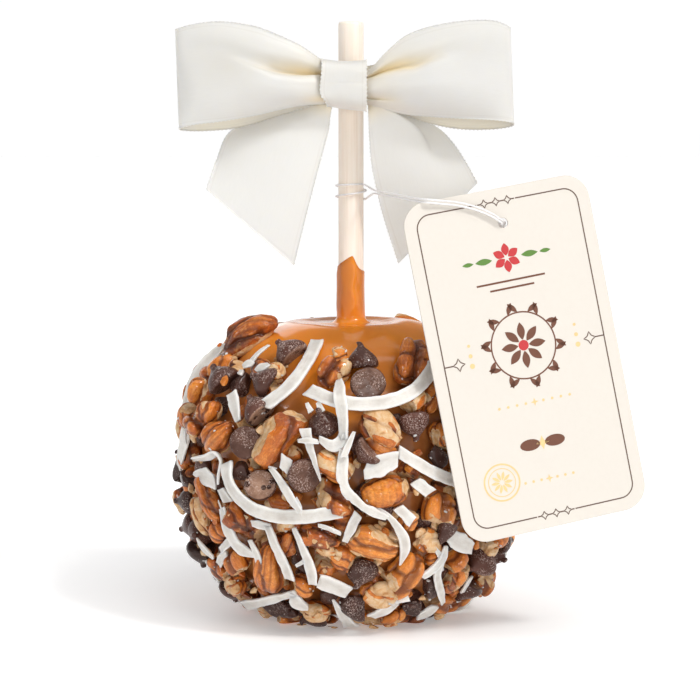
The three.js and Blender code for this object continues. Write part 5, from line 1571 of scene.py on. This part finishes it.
LEFT_LOOP = [
    section(-3.4, [128.2, 128.8, 130.0, 131.2, 132.4, 133.6, 134.6, 136.2, 137.6], [-9.2, -10.6, -11.6, -11.8, -11.4, -10.2, -8.6, -10.2, -10.6]),
    section(-7.4, [128.0, 128.3, 129.6, 131.4, 133.4, 134.8, 134.9, 136.8, 138.9], [-9.4, -11.6, -12.9, -13.2, -12.9, -11.6, -9.0, -11.0, -10.8]),
    section(-12.5, [127.6, 128.0, 129.6, 131.6, 133.4, 134.6, 135.2, 138.8, 142.2], [-10.0, -12.5, -14.2, -14.9, -14.7, -13.5, -9.9, -12.6, -11.8]),
    section(-18.4, [126.4, 127.2, 129.6, 131.8, 133.8, 135.1, 136.2, 140.2, 144.9], [-11.0, -13.0, -14.9, -15.7, -15.6, -14.6, -11.4, -13.8, -12.8]),
    section(-23.5, [125.2, 127.0, 129.8, 132.2, 134.6, 136.5, 138.0, 142.0, 146.7], [-11.8, -13.6, -15.2, -16.0, -16.0, -15.4, -13.6, -14.4, -13.4]),
    section(-31.5, [123.8, 126.4, 129.4, 132.6, 135.8, 138.6, 141.2, 144.4, 147.8], [-12.6, -14.2, -15.2, -15.4, -15.0, -14.2, -13.8, -14.2, -13.9]),
    section(-38.0, [123.0, 125.9, 129.0, 132.2, 135.3, 138.3, 141.2, 144.2, 147.3], [-12.2, -13.2, -13.8, -13.9, -13.6, -13.1, -12.8, -12.9, -12.8]),
    straight(-41.9, 122.3, 146.4, -11.0, -11.3, 0.3, (0.6, 0.0)),
    straight(-43.3, 121.9, 146.0, -9.0, -9.2, 0.0, (1.0, 0.3)),
    straight(-42.0, 121.5, 145.7, -6.9, -7.0, -0.2, (0.6, 0.0)),
    straight(-36.5, 121.4, 145.8, -5.4, -5.4, -0.3),
    straight(-28.0, 122.2, 144.6, -4.8, -4.8, -0.3),
    straight(-19.0, 124.8, 141.6, -5.2, -5.4, -0.4),
    straight(-12.0, 127.0, 138.8, -6.6, -6.8, -0.4),
    straight(-7.4, 128.0, 137.6, -7.6, -7.8, -0.3),
    straight(-3.4, 128.4, 137.2, -8.0, -8.2, -0.2),
]
RIGHT_LOOP = [
    section(0.2, [128.2, 128.8, 129.8, 131.0, 132.2, 133.2, 133.9, 135.2, 136.6], [-9.2, -10.4, -11.2, -11.6, -11.4, -10.4, -8.8, -9.8, -10.0]),
    section(4.0, [127.9, 128.9, 129.3, 130.6, 132.2, 133.7, 134.2, 134.9, 136.0], [-9.6, -11.4, -11.0, -12.9, -13.1, -12.0, -9.4, -10.4, -10.4]),
    section(8.3, [126.8, 128.4, 129.2, 130.9, 133.0, 135.0, 135.9, 137.8, 140.2], [-10.2, -12.8, -12.8, -14.3, -14.6, -13.4, -10.0, -11.8, -11.4]),
    section(12.4, [125.7, 127.6, 129.4, 131.4, 133.6, 135.7, 137.0, 139.9, 143.8], [-10.8, -13.4, -14.6, -15.4, -15.4, -14.4, -11.0, -12.9, -12.2]),
    section(16.0, [125.2, 127.2, 129.6, 132.0, 134.2, 136.1, 137.6, 141.2, 145.6], [-11.4, -13.6, -15.0, -15.9, -15.9, -15.2, -12.2, -13.8, -12.9]),
    section(21.0, [124.8, 127.0, 129.8, 132.6, 135.4, 137.9, 139.8, 143.0, 147.0], [-12.0, -13.8, -15.2, -16.0, -16.0, -15.5, -13.8, -14.4, -13.6]),
    section(28.0, [124.4, 127.1, 130.1, 133.2, 136.3, 139.2, 141.9, 144.8, 148.0], [-12.4, -13.8, -14.8, -15.2, -15.0, -14.6, -14.2, -14.2, -13.8]),
    section(34.5, [124.1, 127.0, 130.1, 133.2, 136.2, 139.2, 142.2, 145.1, 148.1], [-12.2, -13.2, -13.8, -14.0, -13.8, -13.4, -13.1, -13.0, -12.8]),
    straight(38.6, 123.6, 147.0, -10.9, -11.2, 0.3, (0.2, -0.6)),
    straight(39.9, 123.0, 146.4, -9.0, -9.1, 0.0, (0.2, -0.9)),
    straight(38.8, 122.4, 145.8, -6.9, -7.0, -0.2, (0.4, -0.6)),
    straight(34.5, 121.8, 145.6, -5.4, -5.4, -0.3),
    straight(27.0, 121.9, 144.8, -4.8, -4.8, -0.3),
    straight(19.0, 123.4, 142.2, -5.0, -5.2, -0.4),
    straight(11.0, 126.2, 139.0, -6.2, -6.4, -0.4),
    straight(4.6, 127.9, 137.4, -7.4, -7.6, -0.3),
    straight(0.6, 128.4, 137.0, -8.0, -8.2, -0.2),
]


def pleat_shade(x_end, side):
    """Painted warm shade inside the deep pleat, in a small pleat and near the knot on the front layer, and on the inner
    layer.
    """
    def f(P, u, v):
        x = P[..., 0] * side
        front = (u < 0.47)
        deep = np.exp(-(((v - 0.735) / 0.10) ** 2)) * (1 - smooth(x, 10, x_end)) * smooth(x, 2, 6)
        small = np.exp(-(((v - 0.22) / 0.07) ** 2)) * (1 - smooth(x, 6, 14))
        near = 0.22 * (1 - smooth(x, 4, 18))
        return np.where(front, 0.80 * deep + 0.50 * small + near + 0.04, 0.05 + 0.27 * smooth(u + 0 * v, 0.58, 0.68))
    return f


ribbon("ribbon_loop_left", LEFT_LOOP, 130, 46, "bow_loop_left", pleat_shade(26, -1))
ribbon("ribbon_loop_right", RIGHT_LOOP, 130, 46, "bow_loop_right", pleat_shade(26, 1))


def rows(left, right, mids):
    """Sections of a tail: left edge, points between given as offsets, right edge."""
    out = []
    for l, r, ms in zip(left, right, mids):
        l, r = np.array(l, float), np.array(r, float)
        row = [l]
        for t, off in ms:
            row.append(l + (r - l) * t + np.array(off, float))
        row.append(r)
        out.append(row)
    return np.array(out)


LT_L = [(-6.2, -8.0, 129.4), (-9.5, -6.2, 128.5), (-16, -3.6, 127.0), (-24, -2.6, 124.6), (-30.6, -3.2, 120.8), (-33.4, -5.2, 114.4), (-34.8, -7.2, 110.4), (-35.8, -8.4, 106.9)]
LT_R = [(-4.4, -8.6, 128.2), (-4.9, -9.0, 126.4), (-5.2, -9.2, 124.4), (-5.5, -9.5, 121.6), (-6.6, -10.0, 117.4), (-9.0, -10.6, 108.4), (-11.4, -10.9, 99.2), (-14.1, -11.2, 88.3)]
LT_M = [[(0.33, (0, -0.2, 0)), (0.66, (0, -0.2, 0))], [(0.33, (0, -0.6, 0)), (0.66, (0, -0.5, 0))], [(0.33, (0, -1.2, 0)), (0.66, (0, -1.2, 0))],
        [(0.33, (0, -1.8, 0)), (0.66, (0, -1.9, 0))], [(0.33, (0, -2.2, 0)), (0.66, (0, -2.2, 0))], [(0.33, (0, -1.8, 0)), (0.66, (0, -1.8, 0))],
        [(0.33, (0, -1.2, 0)), (0.66, (0, -1.3, 0))], [(0.33, (0, -0.9, 0)), (0.66, (0, -1.0, 0))]]
RT_L = [(4.2, -8.8, 128.4), (4.3, -8.8, 126.0), (4.4, -8.6, 122.6), (4.6, -8.2, 118.6), (5.1, -7.2, 113.2), (6.4, -6.0, 106.8), (8.3, -5.1, 99.4), (11.9, -4.4, 88.4)]
RT_R = [(5.0, -8.0, 129.0), (8.6, -5.6, 127.2), (13.4, -3.8, 125.8), (18.4, -3.2, 124.0), (22.6, -3.4, 121.4), (25.8, -4.6, 117.9), (28.6, -5.8, 113.6), (31.4, -6.8, 108.6)]
RT_M = [[(0.35, (0, -0.4, 0)), (0.55, (0, -0.4, 0.1)), (0.7, (0, -0.2, 0))],
        [(0.35, (0.2, -2.0, 0.5)), (0.58, (0.6, -3.2, 0.8)), (0.64, (0.7, -1.2, 0.5))],
        [(0.38, (0.1, -2.6, 0.8)), (0.66, (0.8, -4.2, 0.9)), (0.70, (1.0, -1.6, 0.4))],
        [(0.40, (0.0, -2.6, 0.8)), (0.72, (0.6, -3.9, 0.4)), (0.77, (0.8, -1.4, 0.2))],
        [(0.38, (0, -2.2, 0.4)), (0.70, (0, -2.9, 0.2)), (0.78, (0.2, -1.5, 0))],
        [(0.36, (0, -1.8, 0)), (0.64, (0, -1.9, 0)), (0.78, (0, -1.2, 0))],
        [(0.34, (0, -1.3, 0)), (0.62, (0, -1.3, 0)), (0.78, (0, -0.8, 0))],
        [(0.33, (0, -0.8, 0)), (0.62, (0, -0.8, 0)), (0.78, (0, -0.5, 0))]]


# painted shade: warm cream at the top of each tail, under the loops
def tail_top_shade(P, u, v):
    return 0.45 * (1 - smooth(u, 0.08, 0.36)) + 0.0 * P[..., 0]


ribbon("ribbon_tail_left", rows(LT_L, LT_R, LT_M), 72, 42, "bow_tail_left", tail_top_shade)
ribbon("ribbon_tail_right", rows(RT_L, RT_R, RT_M), 72, 42, "bow_tail_right", tail_top_shade)


def build_knot():
    """The centre wrap: a band of ribbon that goes over the gathered loops and round behind them."""
    x0, x1 = -7.0, 3.7
    yc, zc, hy, hz = -9.6, 132.75, 4.9, 6.25
    na, nx = 120, 40
    a = np.linspace(0, 2 * math.pi, na, endpoint=False)
    n = 3.0
    l = (np.abs(np.cos(a)) ** n + np.abs(np.sin(a)) ** n) ** (-1 / n)
    y, z = -np.cos(a) * l, np.sin(a) * l
    t = np.linspace(0, 1, nx)
    A, T = np.meshgrid(a, t, indexing="ij")
    Y, Z = np.repeat(y[:, None], nx, 1), np.repeat(z[:, None], nx, 1)
    pinch = 1 - 0.05 * np.sin(np.pi * T) * (Z > 0) - 0.02 * np.sin(np.pi * T)
    X = mixn(x0, x1, T) + 0.22 * np.sin(1.3 * A + 0.5) * (T - 0.5)
    low = 0.5 * np.exp(-((Z + 0.15) / 0.45) ** 2) * (1 - T) - 1.3 * smooth(-Z, 0.35, 1.0) * (1 - T) ** 2
    foot = smooth(-Z, 0.4, 1.0) * (0.9 * (1 - T) ** 2 - 0.35 * T)
    P = np.stack([X - low, yc + Y * hy * pinch - 0.35 * np.sin(np.pi * T) * (Y < -0.5), zc + Z * hz * pinch - 0.25 * T * (Z > 0.5) + foot], -1)
    P[..., 1] -= 0.18 * fbm(np.stack([X * 0.12, Z * 2.0, Y], -1).reshape(-1, 3), 2).reshape(X.shape)
    # slab: outer and inner layer, joined at both woven edges
    c = P.mean(axis=(0, 1))
    inner = P.copy()
    inner[..., 1] = yc + (P[..., 1] - yc) * (1 - 0.4 / hy)
    inner[..., 2] = zc + (P[..., 2] - zc) * (1 - 0.4 / hz)
    V = np.concatenate([P.reshape(-1, 3), inner.reshape(-1, 3)])
    k = na * nx
    F = grid_faces(na, nx, wrap_u=True)
    i = np.arange(na) * nx
    j = np.roll(i, -1)
    rim0 = np.stack([i, i + k, j + k, j], 1)
    i2, j2 = i + nx - 1, j + nx - 1
    rim1 = np.stack([i2, j2, j2 + k, i2 + k], 1)
    loc = np.stack([np.where(T < 0.5, T * 11.2, 25.4 - (1 - T) * 11.2), A * 5, 0 * A], -1).reshape(-1, 3)
    return V, np.concatenate([F, F[:, ::-1] + k, rim0, rim1]), np.concatenate([loc, loc]), P


V, F, loc, P = build_knot()
knot_wrap = mesh_object("ribbon_knot_wrap", V, [F], {"loc": loc, "tint_and_fold_shade": np.full(len(V), 0.08)}, mat=MAT["satin"], slot="satin_ribbon")
for col in (P[:, 0], P[:, -1]):
    front = col[np.r_[np.arange(88, 120), np.arange(0, 33)]]
    picot_row(front)


def build_strap():
    """Ribbon drawn round the back of the stick, gathered into soft pleats."""
    na, nz = 90, 36
    a = np.linspace(rad(-118), rad(118), na)
    v = np.linspace(-1, 1, nz)
    A, Vv = np.meshgrid(a, v, indexing="ij")
    pleat = 0.22 * np.cos(Vv * 9.0 + 0.6 * np.sin(2 * A)) * (1 - 0.3 * np.abs(Vv))
    R = 4.15 + pleat + 0.25 * np.abs(A) / rad(118)
    X, Y = R * np.sin(A), R * np.cos(A)
    Z = BOW_Z + Vv * (4.3 + 0.5 * (np.abs(A) / rad(118)) ** 2)
    P = np.stack([X, Y, Z], -1)
    V, F = sheet_mesh(P, 0.3)
    loc = np.stack([12.7 + Vv * 9, A * 5, 0 * A], -1).reshape(-1, 3)
    return V, F, np.concatenate([loc, loc])


V, F, loc = build_strap()
strap = mesh_object("ribbon_stick_strap", V, [F], {"loc": loc, "tint_and_fold_shade": np.zeros(len(V))}, mat=MAT["satin"], slot="satin_ribbon")
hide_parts("bow_knot")
edges = picots.build("ribbon_picots", mat=MAT["edge"], slot="satin_ribbon")

# ------------------------------------------------------------------ tag
def rounded_outline(w, h, c, n=12):
    pts = []
    for cx, cy, a0 in ((w / 2 - c, -h / 2 + c, -90), (w / 2 - c, h / 2 - c, 0), (-w / 2 + c, h / 2 - c, 90), (-w / 2 + c, -h / 2 + c, 180)):
        for k in range(n + 1):
            a = rad(a0 + 90 * k / n)
            pts.append((cx + c * math.cos(a), cy + c * math.sin(a)))
    return pts


def build_tag():
    b = bmesh.new()
    ring = rounded_outline(TAG_W, TAG_H, TAG_CORNER, 14)
    holes = [(TAG_HOLE[0] + TAG_HOLE_R * math.cos(a), TAG_HOLE[1] + TAG_HOLE_R * math.sin(a)) for a in np.linspace(0, 2 * math.pi, 28, endpoint=False)]
    edges_ = []
    for pts in (ring, holes):
        vs = [b.verts.new((x, y, 0)) for x, y in pts]
        edges_ += [b.edges.new((vs[i], vs[(i + 1) % len(vs)])) for i in range(len(vs))]
    bmesh.ops.triangle_fill(b, edges=edges_, use_beauty=True)
    for f in b.faces:
        if f.normal.z < 0:
            f.normal_flip()
    geom = bmesh.ops.extrude_face_region(b, geom=list(b.faces))
    vs = [g for g in geom["geom"] if isinstance(g, bmesh.types.BMVert)]
    bmesh.ops.translate(b, verts=vs, vec=(0, 0, -TAG_T))
    bmesh.ops.recalc_face_normals(b, faces=list(b.faces))
    rim = [e for e in b.edges if len(e.link_faces) == 2 and e.calc_face_angle(0) > 0.9]
    bmesh.ops.bevel(b, geom=rim, offset=0.09, segments=2, profile=0.5, affect="EDGES")
    V = np.array([v.co[:] for v in b.verts])
    me = bpy.data.meshes.new("tag_card")
    W = np.array([on_card(x, y, z) for x, y, z in V]) * 0.001
    for v, p in zip(b.verts, W):
        v.co = p
    b.to_mesh(me)
    b.free()
    ob = bpy.data.objects.new("tag_card", me)
    scene.collection.objects.link(ob)
    me.materials.append(MAT["card"])
    for p in me.polygons:
        p.use_smooth = False
    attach(ob, "root")
    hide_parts("tag")
    return ob


build_tag()


class Print:
    """Flat ink shapes on the card's face."""

    def __init__(self):
        self.V, self.T, self.Q = [], [], []

    def strip(self, pts, width, closed=False):
        P = np.array(pts, float)
        n = len(P)
        if closed:
            t = np.roll(P, -1, 0) - np.roll(P, 1, 0)
        else:
            t = np.gradient(P, axis=0)
        t /= np.linalg.norm(t, axis=1)[:, None] + 1e-9
        s = np.stack([-t[:, 1], t[:, 0]], 1) * width / 2
        base = len(self.V)
        for a, b in zip(P - s, P + s):
            self.V += [tuple(a), tuple(b)]
        for i in range(n if closed else n - 1):
            j = (i + 1) % n
            self.Q.append((base + 2 * i, base + 2 * j, base + 2 * j + 1, base + 2 * i + 1))

    def poly(self, pts):
        base = len(self.V)
        c = np.mean(np.array(pts), axis=0)
        self.V += [tuple(c)] + [tuple(p) for p in pts]
        n = len(pts)
        for i in range(n):
            self.T.append((base, base + 1 + i, base + 1 + (i + 1) % n))

    def build(self, name, mat, lift):
        V = np.array([on_card(x, y, lift) for x, y in self.V])
        F = []
        for f in (self.Q, self.T):
            if f:
                f = np.array(f)
                p = V[f]
                nrm = np.cross(p[:, 1] - p[:, 0], p[:, 2] - p[:, 0])
                bad = nrm @ TAG_OUT < 0
                f[bad] = f[bad][:, ::-1]
                F.append(f)
        return mesh_object(name, V, F, smooth_shade=False, mat=mat, slot="tag_card")


def circle(cx, cy, r, n=40, a0=0.0, a1=2 * math.pi):
    a = np.linspace(a0, a1, n, endpoint=abs(a1 - a0) < 6.28)
    return [(cx + r * math.cos(t), cy + r * math.sin(t)) for t in a]


def star4(cx, cy, r, inner=0.36):
    return [(cx + (r if k % 2 == 0 else r * inner) * math.cos(math.pi / 4 * k), cy + (r if k % 2 == 0 else r * inner) * math.sin(math.pi / 4 * k)) for k in range(8)]


def leaf(cx, cy, ang, length, width, n=10):
    t = np.linspace(0, 1, n)
    w = np.sin(np.pi * t) ** 0.9 * width / 2
    up = np.stack([t * length, w], 1)
    dn = np.stack([t[::-1] * length, -w[::-1]], 1)
    P = np.concatenate([up, dn[1:-1]])
    c, s = math.cos(ang), math.sin(ang)
    return [(cx + x * c - y * s, cy + x * s + y * c) for x, y in P]


def diamond_line(ink, cx, cy, r, lw):
    pts = [(cx + r * math.cos(k * math.pi / 2), cy + r * math.sin(k * math.pi / 2)) for k in range(4)]
    curve = []
    for k in range(4):
        a, b = np.array(pts[k]), np.array(pts[(k + 1) % 4])
        for t in np.linspace(0, 1, 6, endpoint=False):
            p = a + (b - a) * t
            p = p + (np.array([cx, cy]) - p) * 0.28 * math.sin(math.pi * t)
            curve.append(tuple(p))
    ink.strip(curve, lw, closed=True)


def build_print():
    line = Print()
    iw, ih, lw = TAG_W / 2 - 3.05, TAG_H / 2 - 3.1, 0.30
    c = 3.4
    out = rounded_outline(iw * 2, ih * 2, c, 10)
    # the border, open where the small diamonds sit at the top and bottom middle
    P = np.array(out)
    def gap(p):
        return abs(p[0]) < 4.6 and abs(abs(p[1]) - ih) < 0.01
    dense = []
    for i in range(len(P)):
        a, b = P[i], P[(i + 1) % len(P)]
        k = max(2, int(np.linalg.norm(b - a) / 0.4))
        dense += [a + (b - a) * t for t in np.linspace(0, 1, k, endpoint=False)]
    run = []
    start = next(i for i, p in enumerate(dense) if gap(p))
    for p in dense[start:] + dense[:start]:
        if gap(p):
            if len(run) > 2:
                line.strip(run, lw)
            run = []
        else:
            run.append(tuple(p))
    if len(run) > 2:
        line.strip(run, lw)
    for sy in (1, -1):
        for k in (-1, 0, 1):
            diamond_line(line, 2.9 * k, sy * ih, 1.0, 0.24)
        for a, b in ((-4.6, -3.9), (-1.9, -1.0), (1.0, 1.9), (3.9, 4.6)):
            line.strip([(a, sy * ih), (b, sy * ih)], lw)
    for sx in (1, -1):
        line.strip([(sx * iw, 1.5), (sx * (iw - 2.2), 1.5)], lw)
        diamond_line(line, sx * (iw - 3.6), 1.5, 1.5, 0.26)
    line.build("tag_border", ink_material("ink_brown_line", (0.115, 0.065, 0.045)), 0.02)

    # generic ornament: a ring of small leaves with a rosette, a beaded rule and a round seal
    dark, red, tan, green = Print(), Print(), Print(), Print()
    cy = 3.0
    for k in range(20):
        a = 2 * math.pi * k / 20
        dark.poly(leaf(8.0 * math.cos(a), cy + 8.0 * math.sin(a), a + (0.75 if k % 2 else -0.75) + math.pi / 2 * 0, 3.1, 1.25))
    dark.strip(circle(0, cy, 7.9, 72), 0.35, closed=True)
    for k in range(8):
        a = 2 * math.pi * k / 8
        dark.poly(leaf(1.3 * math.cos(a), cy + 1.3 * math.sin(a), a, 4.2, 1.9))
    red.poly(circle(0, cy, 1.25, 28))
    for sx in (-1, 1):
        for i, r in enumerate((0.62, 0.5, 0.38)):
            tan.poly(circle(sx * (13.2 + 0 * i) * 1.0, cy + (i - 1) * 2.4, r, 18))
    # upper rosette
    uy = 24.0
    for k in range(6):
        a = 2 * math.pi * k / 6 + math.pi / 6
        red.poly(leaf(0.5 * math.cos(a), uy + 0.5 * math.sin(a), a, 3.0, 1.9))
    for sx in (-1, 1):
        green.poly(leaf(sx * 3.6, uy, 0 if sx > 0 else math.pi, 4.2, 1.5))
        green.poly(leaf(sx * 8.2, uy, 0 if sx > 0 else math.pi, 2.8, 1.0))
    for w, y in ((17, 18.6), (11, 16.9)):
        dark.strip([(-w / 2, y), (w / 2, y)], 0.45)
    # beaded rules
    for y, n, st in ((-10.6, 9, 2.2), (-29.0, 7, 2.0)):
        for k in range(n):
            x = (k - (n - 1) / 2) * st
            if k == (n - 1) // 2:
                tan.poly(star4(x, y, 1.0))
            else:
                tan.poly(circle(x, y, 0.34, 14))
    # pair of plain ovals and a band
    for sx in (-1, 1):
        dark.poly([(sx * 3.1 + 2.5 * math.cos(t) * 1.0, -20.4 + 1.35 * math.sin(t) + sx * 0.0) for t in np.linspace(0, 2 * math.pi, 30, endpoint=False)])
    tan.poly(star4(0, -20.4, 1.7, 0.42))
    # round seal, lower left
    sx_, sy_ = -11.6, -27.6
    tan.strip(circle(sx_, sy_, 4.3, 60), 0.42, closed=True)
    tan.strip(circle(sx_, sy_, 3.3, 48), 0.22, closed=True)
    for k in range(10):
        a = 2 * math.pi * k / 10
        tan.poly(leaf(sx_ + 0.5 * math.cos(a), sy_ + 0.5 * math.sin(a), a, 2.2, 0.75))
    dark.build("tag_ornament_brown", ink_material("ink_brown", (0.15, 0.052, 0.026)), 0.025)
    red.build("tag_ornament_red", ink_material("ink_red", (0.52, 0.030, 0.035)), 0.03)
    tan.build("tag_ornament_tan", ink_material("ink_tan", (0.84, 0.58, 0.27)), 0.025)
    green.build("tag_ornament_green", ink_material("ink_green", (0.10, 0.22, 0.035)), 0.025)


build_print()

# knot of the thread behind the card
hole = on_card(*TAG_HOLE)
bead_mid = hole - TAG_OUT * (TAG_T + GAP + 1.5 + 0.45)
d, F, _ = ICO[8]
bead = d * [1.45, 1.45, 1.2] * (1 + 0.14 * np.sin(6 * np.arctan2(d[:, 1], d[:, 0]) + 7 * d[:, 2]))[:, None] * 0.94 + bead_mid
knot_part = Batch()
knot_part.add(bead, [F])
for sx in (-0.3, 0.3):
    line = np.array([on_card(TAG_HOLE[0] + sx, TAG_HOLE[1] + sx, -TAG_T - 0.5 - k * 0.45) for k in range(5)])
    line[-2:] = mixn(line[-2:], bead_mid, 0.35)
    SV, S4, S3 = tube(line, THREAD_D / 2 * 1.02, 10)
    knot_part.add(SV, [S4, S3])
bead_ob = knot_part.build("thread_knot_fine", mat=MAT["thread"], slot="thread")
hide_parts("thread_knot")

# ------------------------------------------------------------------ sizes and end
total = sum(len(o.data.loop_triangles) if o.data.calc_loop_triangles() is None else 0 for o in scene.objects if o.type == "MESH" and not o.hide_render)
print("triangles in all", total)
